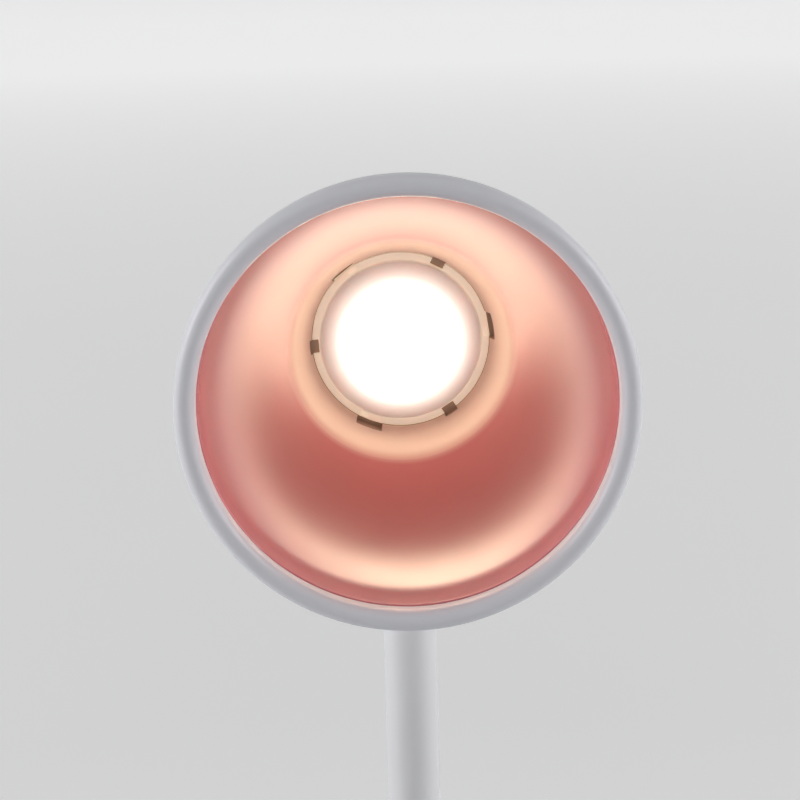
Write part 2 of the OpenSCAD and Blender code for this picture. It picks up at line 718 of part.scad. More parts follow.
module heat_sink() {
    color("silver") in_head() difference() {
        union() {
            translate([0, 0, plate_at]) cylinder(r = sink_r, h = sink_plate_t);
            intersection() {
                for (k = [-3:3]) translate([k * fin_pitch - fin_t / 2, -30, fins_at - 0.5])
                    cube([fin_t, 60, fin_h + 0.5]);
                translate([0, 0, fins_at - 0.5]) cylinder(r1 = fin_envelope_r,
                    r2 = fin_envelope_r - fin_taper, h = fin_h + 0.5);
            }
        }
        three_round(90) translate([boss_pitch_r, 0, 0]) {
            translate([0, 0, plate_at - cut]) cylinder(r = sink_screw_r + 0.15, h = sink_plate_t + 2 * cut);
            translate([0, 0, fins_at - sink_head_t]) cylinder(r = sink_head_r + 0.15, h = sink_head_t + cut);
        }
        for (x = [-1, 1]) translate([x * led_screw_at, 0, plate_at - cut])
            cylinder(r = m2_r + thread_fit, h = sink_plate_t + 3);
    }
}

module heat_sink_screws() {
    color("silver") in_head() three_round(90) translate([boss_pitch_r, 0, fins_at - sink_head_t])
        rotate([180, 0, 0]) cross_screw(sink_screw_r, sink_plate_t - sink_head_t + boss_len - 2.5,
            sink_head_r, sink_head_t);
}

module led_board_screws() {
    color("silver") in_head() for (x = [-1, 1]) translate([x * led_screw_at, 0, led_board_at])
        cross_screw(m2_r, led_board_t + pad_t + 2, m2_head_r, m2_head_t);
}

module head_lead() {
    color("white") lead(head_lead_route, [1, 0, 0]);
}

module lead_grommet() {
    color("dimgray") translate([0, channel_y, 0])
        tube_ring(channel_r + 0.75, lead_r + 0.1, grommet_z, grommet_z + grommet_len);
}

// Hinge
module pivot_screw() {
    color("silver") translate([0, 0, hinge_z]) difference() {
        union() {
            translate([head_at_x, 0, 0]) rotate([0, 90, 0]) cylinder(r = cap_r - 0.6, h = pivot_head_t);
            translate([-cap_floor + 0.3, 0, 0]) rotate([0, 90, 0])
                cylinder(r = pivot_r, h = cap_floor - 0.3 + head_at_x + 0.5);
        }
        translate([cap_floor - seat_fit, 0, 0]) rotate([0, -90, 0]) cross_recess(4, 1.2);
    }
}

module pivot_nut() {
    color("silver") translate([-nut_floor_x, 0, hinge_z]) rotate([0, -90, 0]) difference() {
        cylinder(r = nut_r, h = nut_t, $fn = 6);
        translate([0, 0, -cut]) cylinder(r = pivot_r + 0.02, h = nut_t + 2 * cut);
    }
}

module spring_washer() {
    color("silver") translate([0, 0, hinge_z]) rotate([0, 90, 0]) difference() {
        tube_ring(cap_r - 0.4, pivot_r + 0.1, spring_at_x, head_at_x);
        translate([0, -0.4, spring_at_x - cut]) cube([6, 0.8, spring_t + 2 * cut]);
    }
}

module hinge_caps() {
    color("white") for (side = [-1, 1]) translate([side * cap_floor, 0, hinge_z])
        rotate([0, 90 * side, 0]) cylinder(r = cap_r - seat_fit / 2, h = cap_t);
}

// Neck and swivel
module swivel_neck() {
    color("white") difference() {
        union() {
            translate([0, 0, hinge_z]) along_x(tongue_t) union() {
                circle(r = tongue_r);
                translate([-shank_front, collar_top_z - hinge_z - 0.5])
                    square([shank_front + shank_rear, hinge_z - collar_top_z + 0.5]);
            }
            translate([0, 0, collar_bottom_z]) cylinder(r = stem_r, h = collar_top_z - collar_bottom_z);
            translate([0, 0, spindle_bottom_z])
                cylinder(r = spindle_r, h = collar_bottom_z - spindle_bottom_z + 0.5);
            intersection() {
                translate([0, 0, tube_top_z - stop_deep + seat_fit])
                    cylinder(r = stop_r - run_fit, h = stop_deep + 0.5);
                translate([-nib_half, -stop_r, tube_top_z - stop_deep])
                    cube([2 * nib_half, stop_r, stop_deep + 1]);
            }
        }
        translate([-10, 0, hinge_z]) rotate([0, 90, 0]) cylinder(r = pivot_r + run_fit, h = 20);
        translate([0, 0, spindle_bottom_z - cut])
            cylinder(r = spindle_bore_r, h = collar_bottom_z + 3 - spindle_bottom_z);
        translate([0, 0, collar_bottom_z + 1.2])
            rotate([-atan2(channel_y, hinge_z - 8.5 - collar_bottom_z), 0, 0])
            cylinder(r = channel_r + 0.1, h = norm([channel_y, hinge_z - 8.5 - collar_bottom_z]));
        translate([0, channel_y, hinge_z - 9]) cylinder(r = channel_r, h = 20);
        tube_ring(spindle_r + cut, groove_r, clip_top_z - clip_t - 0.05, clip_top_z + 0.02);
        tube_ring(spindle_r + cut, ring_groove_r, ring_groove_z - friction_ring_r - 0.1,
            ring_groove_z + friction_ring_r + 0.1);
    }
}

module friction_washers() {
    color("dimgray") translate([0, 0, hinge_z]) rotate([0, 90, 0]) for (side = [-1, 1])
        translate([0, 0, side * (tongue_t + friction_t) / 2])
            tube_ring(tongue_r - 2.5, pivot_r + 0.1, -friction_t / 2, friction_t / 2);
}

module retaining_clip() {
    color("dimgray") difference() {
        tube_ring(clip_r, groove_r + 0.02, clip_top_z - clip_t, clip_top_z);
        translate([-1.5, -clip_r - cut, clip_top_z - clip_t - cut])
            cube([3, clip_r + cut, clip_t + 2 * cut]);
    }
}

module friction_ring() {
    color("dimgray") translate([0, 0, ring_groove_z]) rotate_extrude()
        translate([spindle_r - friction_ring_r - 0.02 + 0.03, 0]) circle(r = friction_ring_r - 0.02);
}

module neck_lead() {
    color("white") lead(neck_lead_route, [1, 0, 0]);
}

module swivel_bush() {
    color("dimgray") union() {
        tube_ring(bush_r, spindle_r + run_fit, bush_bottom_z, tube_top_z - stop_deep);
        tube_ring(bush_r, stop_r, tube_top_z - stop_deep - 0.2, tube_top_z);
        intersection() {
            tube_ring(stop_r + 0.2, spindle_r + run_fit, tube_top_z - stop_deep - 0.2, tube_top_z);
            translate([-key_half, 0, tube_top_z - stop_deep - 1])
                cube([2 * key_half, stop_r + 1, stop_deep + 2]);
        }
    }
}

module stem_tube() {
    color("white") tube_ring(stem_r, stem_in_r, stem_seat_z, tube_top_z);
}

module stem_foot() {
    color("silver") difference() {
        union() {
            translate([0, 0, stem_seat_z]) cylinder(r = stem_in_r - 0.02, h = insert_len);
            translate([0, 0, stub_end_z]) cylinder(r = stub_r, h = stem_seat_z - stub_end_z + 0.5);
        }
        translate([0, 0, stub_end_z - cut])
            cylinder(r = stub_bore_r, h = stem_seat_z - stub_end_z + insert_len + 2 * cut);
    }
}

module stem_washer() {
    color("silver") tube_ring(washer_r, stub_r + seat_fit, ballast_z - washer_t, ballast_z);
}

module stem_nut() {
    color("silver") translate([0, 0, stem_nut_z]) difference() {
        cylinder(r = stem_nut_af / 2 / cos(30), h = stem_nut_t, $fn = 6);
        translate([0, 0, -cut]) cylinder(r = stub_r + 0.02, h = stem_nut_t + 2 * cut);
    }
}

// Base
module at_base_screws() {
    for (a = [35, 145, 215, 325]) rotate([0, 0, a]) translate([base_screw_at, 0, 0]) children();
}

module at_ballast_screws() {
    for (a = [20, 160, 200, 340]) rotate([0, 0, a]) translate([ballast_screw_at, 0, 0]) children();
}

module at_control_screws() {
    for (x = [-1, 1]) translate([x * control_screw_x, -control_screw_y, 0]) children();
}

module at_charge_screws() {
    for (x = [-1, 1]) translate([x * charge_screw_x, charge_screw_y, 0]) children();
}

module base_cover() {
    in_round = base_round - cover_wall;
    color("white") difference() {
        union() {
            rotate_extrude() polygon(concat(
                [[0, base_h]],
                arc([base_r - base_round, base_h - base_round], base_round, 90, 0, arc_steps),
                [[base_r, plate_z], [cover_in_r, plate_z]],
                arc([base_r - base_round, base_h - base_round], in_round, 0, 90, arc_steps),
                [[0, cover_under_z]]));
            at_base_screws() translate([0, 0, plate_top_z])
                cylinder(r = base_boss_r, h = cover_under_z - plate_top_z + 0.5);
            at_ballast_screws() translate([0, 0, ballast_top_z])
                cylinder(r = ballast_post_r, h = ballast_post_h + 0.5);
            at_control_screws() translate([0, 0, control_top_z])
                cylinder(r = board_post_r, h = control_post_h + 0.5);
        }
        translate([0, 0, cover_under_z - cut]) cylinder(r = stem_r + seat_fit, h = 2 * cover_wall);
        at_base_screws() translate([0, 0, plate_top_z - cut])
            cylinder(r = m3_r + thread_fit, h = base_screw_len + cut);
        at_ballast_screws() translate([0, 0, ballast_top_z - cut])
            cylinder(r = m3_r + thread_fit, h = ballast_post_h + cut + cover_wall / 2);
        at_control_screws() translate([0, 0, control_top_z - cut])
            cylinder(r = m2_r + thread_fit, h = control_post_h - 1.4 + cut);
        translate([0, -button_y, cover_under_z - cut]) cylinder(r = button_r + 0.2, h = 2 * cover_wall);
        translate([0, -light_y, cover_under_z - cut]) cylinder(r = light_r + 0.05, h = 2 * cover_wall);
        translate([0, cover_in_r - 2, usb_z]) usb_outline(0.35, 8);
    }
}

// The charging socket's rounded outline, grown all round, running toward +Y
module usb_outline(grow, run) {
    r = usb_h / 2 + grow;
    half = usb_w / 2 - usb_h / 2;
    rotate([-90, 0, 0]) union() {
        for (side = [-1, 1]) translate([side * half, 0, 0]) cylinder(r = r, h = run);
        translate([-half, -r, 0]) cube([2 * half, 2 * r, run]);
    }
}

module base_plate() {
    color("whitesmoke") difference() {
        union() {
            translate([0, 0, plate_z]) cylinder(r = plate_r, h = plate_t);
            at_charge_screws() translate([0, 0, plate_top_z - 0.5])
                cylinder(r = board_post_r, h = charge_post_h + 0.5);
        }
        tube_ring(foot_out_r, foot_in_r, plate_z - cut, plate_z + foot_sunk);
        at_base_screws() {
            translate([0, 0, plate_z - cut]) cylinder(r = m3_r + 0.2, h = plate_t + 2 * cut);
            translate([0, 0, plate_z - cut]) cylinder(r = m3_head_r + 0.3, h = screw_recess + cut);
        }
        at_charge_screws() translate([0, 0, plate_top_z])
            cylinder(r = m2_r + thread_fit, h = charge_post_h + cut);
    }
}

module ballast_weight() {
    color("gray") difference() {
        translate([0, 0, ballast_z]) cylinder(r = ballast_r, h = ballast_t);
        translate([0, 0, stem_seat_z]) cylinder(r = stem_r + seat_fit, h = stem_sunk + cut);
        translate([0, 0, ballast_z - cut]) cylinder(r = stub_r + seat_fit, h = ballast_t + 2 * cut);
        translate([-tray_half_l - 1.5, cell_y - tray_half_w - 0.5, ballast_z - cut])
            cube([2 * tray_half_l + 3, 2 * tray_half_w + 20, ballast_t + 2 * cut]);
        translate([-control_w / 2 - 1, -control_y - control_len / 2 - 1, ballast_z - cut])
            cube([control_w + 2, control_len + 2, ballast_t + 2 * cut]);
        at_ballast_screws() translate([0, 0, ballast_z - cut]) {
            cylinder(r = m3_r + 0.15, h = ballast_t + 2 * cut);
            cylinder(r = m3_head_r + 0.3, h = m3_head_t + cut + 0.2);
        }
    }
}

module foot_ring() {
    color("dimgray") tube_ring(foot_out_r - seat_fit, foot_in_r + seat_fit, 0, foot_h);
}

module base_screws() {
    color("silver") at_base_screws() translate([0, 0, plate_z + screw_recess])
        cross_screw(m3_r, base_screw_len, m3_head_r, base_head_t);
}

module ballast_screws() {
    color("silver") at_ballast_screws() translate([0, 0, ballast_z + m3_head_t + 0.2])
        cross_screw(m3_r, ballast_t - m3_head_t + ballast_post_h, m3_head_r, m3_head_t);
}

module board_screws() {
    color("silver") {
        at_control_screws() translate([0, 0, control_z]) cross_screw(m2_r, board_t + 4, m2_head_r, m2_head_t);
        at_charge_screws() translate([0, 0, charge_top_z]) rotate([180, 0, 0])
            cross_screw(m2_r, board_t + charge_post_h - 0.3, m2_head_r, m2_head_t);
    }
}

module battery_cell() {
    color("mediumseagreen") translate([-cell_len / 2, cell_y, cell_z]) rotate([0, 90, 0]) union() {
        cylinder(r = cell_r, h = cell_len - 0.8);
        cylinder(r = cell_r * 0.35, h = cell_len);
    }
}

module battery_tray() {
    color("dimgray") translate([0, cell_y, plate_top_z]) difference() {
        translate([-tray_half_l, -tray_half_w, 0]) cube([2 * tray_half_l, 2 * tray_half_w, tray_h]);
        translate([-tray_half_l + tray_wall, -tray_half_w + tray_wall, tray_floor])
            cube([2 * (tray_half_l - tray_wall), 2 * (tray_half_w - tray_wall), tray_h]);
        translate([-tray_half_l - cut, -2, 3]) cube([tray_wall + 2 * cut, 4, tray_h]);
    }
}

module battery_contacts() {
    color("silver") for (side = [-1, 1])
        translate([side * (cell_len + contact_t) / 2, cell_y, plate_top_z + tray_floor + contact_h / 2])
            cube([contact_t, contact_w, contact_h], center = true);
    color("silver") translate([-tray_half_l - tab_out, cell_y - 1.5, cell_z - contact_h / 2 - 0.5])
        cube([tray_half_l + tab_out - cell_len / 2 - contact_t / 2, 3, 3]);
}

module battery_lead() {
    color("red") lead(battery_lead_route, [0, 0.3, 1]);
}

module charge_board() {
    color("seagreen") difference() {
        translate([-charge_w / 2, charge_y - charge_len / 2, charge_z]) cube([charge_w, charge_len, board_t]);
        at_charge_screws() translate([0, 0, charge_z - cut]) cylinder(r = m2_r + 0.1, h = board_t + 2 * cut);
    }
}

module usb_socket() {
    color("silver") translate([0, usb_front_y - usb_len, usb_z]) union() {
        difference() {
            usb_outline(0, usb_len);
            translate([0, 1, 0]) usb_outline(-usb_wall, usb_len);
        }
        translate([-usb_w / 2 + 1.3, 0.5, -0.35]) cube([usb_w - 2.6, usb_len - 1.2, 0.7]);
    }
}

module control_board() {
    color("seagreen") difference() {
        translate([-control_w / 2, -control_y - control_len / 2, control_z])
            cube([control_w, control_len, board_t]);
        at_control_screws() translate([0, 0, control_z - cut])
            cylinder(r = m2_r + 0.1, h = board_t + 2 * cut);
    }
}

module board_chips() {
    color("black") {
        translate([-charge_w / 2 + 3, charge_y - 3, charge_top_z]) cube([chip_side, chip_side, chip_h]);
        translate([charge_w / 2 - 3 - coil_side, charge_y - 3, charge_top_z])
            cube([coil_side, coil_side, coil_h]);
        translate([-control_w / 2 + 2, -control_y - 4, control_top_z]) cube([chip_side, chip_side, chip_h]);
        translate([control_w / 2 - 2 - coil_side, -control_y - 4, control_top_z])
            cube([coil_side, coil_side, coil_h]);
        translate([-1, -light_y - 0.6, control_top_z]) cube([2, 1.2, 0.8]);
    }
}

module power_button() {
    color("white") translate([0, -button_y, 0]) union() {
        translate([0, 0, flange_top_z - button_flange_t])
            cylinder(r = button_r + button_lip, h = button_flange_t);
        translate([0, 0, flange_top_z - 0.5]) rotate_extrude() polygon(concat(
            [[0, 0], [button_r, 0]],
            arc([button_r - 0.8, base_h + button_proud - flange_top_z - 0.3], 0.8, 0, 90, 6),
            [[0, base_h + button_proud - flange_top_z + 0.1]]));
        translate([0, 0, plunger_top_z]) cylinder(r = button_stem_r, h = flange_top_z - plunger_top_z - 0.5);
    }
}

module tact_switch() {
    color("dimgray") translate([0, -button_y, control_top_z]) difference() {
        translate([-tact_w / 2, -tact_w / 2, 0]) cube([tact_w, tact_w, tact_h]);
        translate([0, 0, tact_h - plunger_in - button_travel - 0.2])
            cylinder(r = plunger_r + run_fit, h = tact_h);
    }
}

module switch_plunger() {
    color("black") translate([0, -button_y, plunger_z])
        cylinder(r = plunger_r, h = plunger_top_z - plunger_z);
}

module indicator_light() {
    color("honeydew") translate([0, -light_y, control_top_z + 0.9])
        cylinder(r = light_r, h = base_h - control_top_z - 0.9);
}

module stem_lead() {
    color("white") lead(stem_lead_route, [1, 0, 0]);
}

module link_lead() {
    color("white") lead(link_lead_route, [0.3, 0.2, 1]);
}

head_shell();
front_ring();
reflector();
diffuser();
led_chip();
led_board();
thermal_pad();
heat_sink();
heat_sink_screws();
led_board_screws();
head_lead();
lead_grommet();
pivot_screw();
pivot_nut();
spring_washer();
hinge_caps();
swivel_neck();
friction_washers();
retaining_clip();
friction_ring();
neck_lead();
swivel_bush();
stem_tube();
stem_foot();
stem_washer();
stem_nut();
base_cover();
base_plate();
ballast_weight();
foot_ring();
base_screws();
ballast_screws();
board_screws();
battery_cell();
battery_tray();
battery_contacts();
battery_lead();
charge_board();
usb_socket();
control_board();
board_chips();
power_button();
tact_switch();
switch_plunger();
indicator_light();
stem_lead();
link_lead();
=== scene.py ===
# Bedside lamp with a tilting head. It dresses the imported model: new surfaces for what shows, and a finish for
# every piece. It is an add-on, run as a script. Everything is in metres, +Z up, and the head faces -Y.
import math

import bmesh
import bpy
import numpy as np
from bpy.props import FloatProperty, FloatVectorProperty, PointerProperty
from mathutils import Matrix, Vector


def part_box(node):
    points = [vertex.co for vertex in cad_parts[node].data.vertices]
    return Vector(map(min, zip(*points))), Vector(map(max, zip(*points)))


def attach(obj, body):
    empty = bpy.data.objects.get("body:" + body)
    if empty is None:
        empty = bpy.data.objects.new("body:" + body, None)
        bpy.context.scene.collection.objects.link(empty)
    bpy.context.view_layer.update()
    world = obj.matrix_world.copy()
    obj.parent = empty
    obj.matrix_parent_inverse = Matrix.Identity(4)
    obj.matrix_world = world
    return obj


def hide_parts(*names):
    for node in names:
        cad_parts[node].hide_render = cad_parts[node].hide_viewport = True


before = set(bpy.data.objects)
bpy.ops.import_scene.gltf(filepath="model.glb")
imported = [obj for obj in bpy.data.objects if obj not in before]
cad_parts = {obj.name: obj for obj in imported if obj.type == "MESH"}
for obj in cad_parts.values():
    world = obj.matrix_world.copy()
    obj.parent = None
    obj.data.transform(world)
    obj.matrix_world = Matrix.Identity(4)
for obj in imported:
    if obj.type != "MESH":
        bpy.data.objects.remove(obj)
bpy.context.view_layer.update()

bl_info = {
    "name": "Bedside lamp",
    "version": (1, 0, 0),
    "blender": (4, 5, 0),
    "location": "View3D > Sidebar > Bedside lamp",
    "description": "Makes the visible surfaces and finishes of a bedside lamp round its packed model",
    "category": "Object",
}

MM = 0.001

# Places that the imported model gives
RING_LOW, RING_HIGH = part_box("front_ring")
AXIS_Z = (RING_LOW.z + RING_HIGH.z) / 2
MOUTH_Y = RING_LOW.y
RING_R = (RING_HIGH.z - RING_LOW.z) / 2
HEAD_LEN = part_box("head_shell")[1].y - MOUTH_Y
HINGE_Z = sum(p.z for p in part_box("pivot_nut")) / 2
COVER_LOW, COVER_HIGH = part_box("base_cover")
BASE_R = COVER_HIGH.x
BASE_TOP = COVER_HIGH.z

# The ring's snap bead: its place behind the ring's band, its height and its half width
BEAD_AT, BEAD_HIGH, BEAD_HALF = 3.9 * MM, 0.3 * MM, 0.5 * MM
# Clearance round the diffuser's flange, and the half width of its notches
LENS_FIT, NOTCH_HALF = 0.08 * MM, 1.9 * MM
# Angles of the three hooks, and of the three notches, past the first one
THIRDS = (0, 120, 240)


# Surfaces worked out with numpy

def ramp(start, end, count):
    """Evenly spread numbers from start to end."""
    return np.linspace(start, end, count)


def circle(radius, count):
    """Coordinates of evenly spread points round a circle: the radius times the cosine and the sine."""
    a = np.arange(count) * (2 * math.pi / count)
    return radius * np.cos(a), radius * np.sin(a)


def circle_part(centre, radius, start_deg, end_deg, count):
    """Points on a round arc: the centre plus the radius times the cosine and sine of evenly spread angles."""
    a = np.radians(ramp(start_deg, end_deg, count))
    return np.stack([centre[0] + radius * np.cos(a), centre[1] + radius * np.sin(a)], 1)


def bend(start, corner, end, t):
    """Points on the curve that leaves start towards the corner and comes from it to the end: a parabola."""
    return (1 - t) ** 2 * start + 2 * t * (1 - t) * corner + t**2 * end


def eased(corners, radii, count=7):
    """An outline whose corners are eased: each corner gives way to the parabola that starts its radius before
    the corner and ends its radius after it. The radii are in millimetres. An open outline starts and ends
    with corners of radius 0."""
    p = np.asarray(corners, float)
    r = np.asarray(radii, float)[:, None] * MM
    before, after = np.roll(p, 1, 0) - p, np.roll(p, -1, 0) - p
    long_b, long_a = (np.linalg.norm(v, axis=1, keepdims=True) + 1e-12 for v in (before, after))
    a = p + before / long_b * np.minimum(r, long_b * 0.45)
    b = p + after / long_a * np.minimum(r, long_a * 0.45)
    return bend(a[:, None], p[:, None], b[:, None], ramp(0, 1, count)[None, :, None]).reshape(-1, 2)


def shifted(outline, by):
    """The outline moved sideways by a distance, along the direction square to its own slope."""
    slope = np.gradient(outline, axis=0)
    slope /= np.linalg.norm(slope, axis=1, keepdims=True)
    return outline + by * np.stack([slope[:, 1], -slope[:, 0]], 1)


def turned(outline, columns, axis):
    """A surface of revolution: each outline point (radius, distance) runs round the axis by the cosine and
    sine of an evenly spread angle. The head's axis runs backward from its mouth, the stem's runs up, and the
    hinge's axle runs outward to the right or to the left."""
    p = np.asarray(outline, float)
    c, s = circle(p[:, :1], columns)
    along = np.broadcast_to(p[:, 1:], c.shape)
    if axis == "head":
        return np.stack([c, MOUTH_Y + along, AXIS_Z + s], 2)
    if axis == "stem":
        return np.stack([c, s, along], 2)
    return np.stack([along if axis == "right" else -along, s, HINGE_Z + c], 2)


def capped(ring, start, end):
    """A closed prism: the ring at its start and end, with both ends drawn in to their middle points."""
    middle = ring.mean(0, keepdims=True) + 0 * ring
    return np.stack([middle + start, ring + start, ring + end, middle + end])


def upright_prism(x, y, bottom, top):
    """A prism that stands on its section, from one height to another."""
    return capped(np.stack([x, y, 0 * x], 1), [0, 0, bottom], [0, 0, top])


def axle_prism(y, z, start, end):
    """A prism along the hinge's axle, from one distance to another, with its section placed from the axle."""
    return capped(np.stack([0 * y, y, HINGE_Z + z], 1), [start, 0, 0], [end, 0, 0])


def spoke(angle_deg):
    """Two directions in the head at an angle seen from the front: out from the axis, and round it."""
    a = math.radians(angle_deg)
    return np.array([math.cos(a), 0, math.sin(a)]), np.array([-math.sin(a), 0, math.cos(a)])


def head_box(angle_deg, near, far, half_width, front, back):
    """A box in the head at an angle seen from the front, from near to far out from the axis, and from front
    to back behind the mouth."""
    out, around = spoke(angle_deg)
    corners = np.array([[near, -half_width], [far, -half_width], [far, half_width], [near, half_width]])
    ring = corners[:, :1] * out + corners[:, 1:] * around + [0, MOUTH_Y, AXIS_Z]
    return capped(ring, [0, front, 0], [0, back, 0])


def grid_faces(rows, columns, looped, around):
    """Four-sided faces of a grid: each joins a point, the next in its row, and the two below them."""
    i, j = np.meshgrid(np.arange(rows if looped else rows - 1),
                       np.arange(columns if around else columns - 1), indexing="ij")
    i, j = i.ravel(), j.ravel()
    k, m = (i + 1) % rows, (j + 1) % columns
    return np.stack([i * columns + j, i * columns + m, k * columns + m, k * columns + j], 1)


def put_mesh(name, grids, looped=False, around=True, sharp_deg=32):
    """One object from grids of points, whose last row meets the first if looped and whose last column meets
    the first if around. Points that meet are merged, so poles and seams are closed, the faces are turned
    outwards, and edges over sharp_deg stay crisp."""
    points, faces, start = [], [], 0
    for grid in grids:
        rows, columns = grid.shape[:2]
        points.append(grid.reshape(-1, 3))
        faces.append(grid_faces(rows, columns, looped, around) + start)
        start += rows * columns
    points, faces = np.concatenate(points), np.concatenate(faces)
    mesh = bpy.data.meshes.new(name)
    mesh.vertices.add(len(points))
    mesh.vertices.foreach_set("co", points.astype(np.float32).ravel())
    mesh.loops.add(faces.size)
    mesh.loops.foreach_set("vertex_index", faces.astype(np.int32).ravel())
    mesh.polygons.add(len(faces))
    mesh.polygons.foreach_set("loop_start", np.arange(0, faces.size, 4, dtype=np.int32))
    mesh.update(calc_edges=True)
    clean_mesh(mesh)
    return put_object(name, mesh, sharp_deg)


def put_object(name, mesh, sharp_deg):
    """An object with a mesh, smooth but for its edges over sharp_deg."""
    crisp(mesh, sharp_deg)
    piece = bpy.data.objects.new(name, mesh)
    bpy.context.scene.collection.objects.link(piece)
    return piece


def clean_mesh(mesh, near=2e-7, closed=False):
    """Merges points that meet, drops edges without a face, fills pinholes in a closed shape, and turns the
    faces outwards."""
    b = bmesh.new()
    b.from_mesh(mesh)
    bmesh.ops.remove_doubles(b, verts=b.verts, dist=near)
    bmesh.ops.dissolve_degenerate(b, edges=b.edges, dist=near / 2)
    bmesh.ops.delete(b, geom=[e for e in b.edges if not e.link_faces], context="EDGES")
    if closed:
        bmesh.ops.holes_fill(b, edges=[e for e in b.edges if len(e.link_faces) == 1], sides=0)
    bmesh.ops.recalc_face_normals(b, faces=b.faces)
    b.to_mesh(mesh)
    b.free()


def crisp(mesh, sharp_deg):
    """Smooth faces, with the edges over sharp_deg kept crisp."""
    mesh.polygons.foreach_set("use_smooth", np.ones(len(mesh.polygons), bool))
    mesh.set_sharp_from_angle(angle=math.radians(sharp_deg))


def remove(piece):
    """Deletes an object and its mesh."""
    mesh = piece.data
    bpy.data.objects.remove(piece)
    bpy.data.meshes.remove(mesh)


def cut(piece, solids, sharp_deg=32):
    """Cuts closed solids out of a piece, one after the other, and applies the result."""
    for index, grid in enumerate(solids):
        tool = put_mesh("tool_%d" % index, [grid])
        step = piece.modifiers.new("cut", "BOOLEAN")
        step.operation, step.solver, step.object = "DIFFERENCE", "EXACT", tool
        bpy.context.view_layer.update()
        made = bpy.data.meshes.new_from_object(piece.evaluated_get(bpy.context.evaluated_depsgraph_get()))
        piece.modifiers.clear()
        old, piece.data = piece.data, made
        bpy.data.meshes.remove(old)
        remove(tool)
    if len(piece.data.polygons) < 6:
        raise RuntimeError("nothing is left of " + piece.name)
    clean_mesh(piece.data, 1.5e-6, closed=True)
    crisp(piece.data, sharp_deg)


def joined(name, pieces, sharp_deg=32):
    """One object that holds the meshes of several, as islands of one moulding."""
    b = bmesh.new()
    for piece in pieces:
        b.from_mesh(piece.data)
    mesh = bpy.data.meshes.new(name)
    b.to_mesh(mesh)
    b.free()
    for piece in pieces:
        remove(piece)
    return put_object(name, mesh, sharp_deg)


# Finishes

class Nodes:
    """Short ways to build and join the nodes of a material or a world."""

    def __init__(self, tree):
        self.tree = tree

    def add(self, kind, **values):
        node = self.tree.nodes.new(kind)
        for name, value in values.items():
            setattr(node, name, value)
        return node

    def join(self, source, target):
        self.tree.links.new(source, target)

    def feed(self, socket, value):
        """Gives a socket a plain number, a colour, or what another socket brings."""
        if isinstance(value, bpy.types.NodeSocket):
            self.join(value, socket)
        elif isinstance(value, (int, float)):
            socket.default_value = value
        else:
            socket.default_value = (*value, 1)

    def sum(self, operation, first, second=0.0):
        """One step of arithmetic on sockets or plain numbers."""
        node = self.add("ShaderNodeMath", operation=operation)
        self.feed(node.inputs[0], first)
        self.feed(node.inputs[1], second)
        return node.outputs[0]

    def spread(self, source, low, high, start=0.3, end=0.7, kind="LINEAR"):
        """Takes a pattern from its usual span to the span low to high."""
        node = self.add("ShaderNodeMapRange", interpolation_type=kind)
        for socket, value in (("From Min", start), ("From Max", end), ("To Min", low), ("To Max", high)):
            node.inputs[socket].default_value = value
        self.join(source, node.inputs["Value"])
        return node.outputs["Result"]

    def seen(self):
        """One where a surface is seen, mirrored or seen through glass, and zero where it only gives light."""
        path = self.add("ShaderNodeLightPath").outputs
        direct = self.sum("ADD", path["Is Camera Ray"], path["Is Glossy Ray"])
        return self.sum("MINIMUM", self.sum("ADD", direct, path["Is Transmission Ray"]), 1.0)


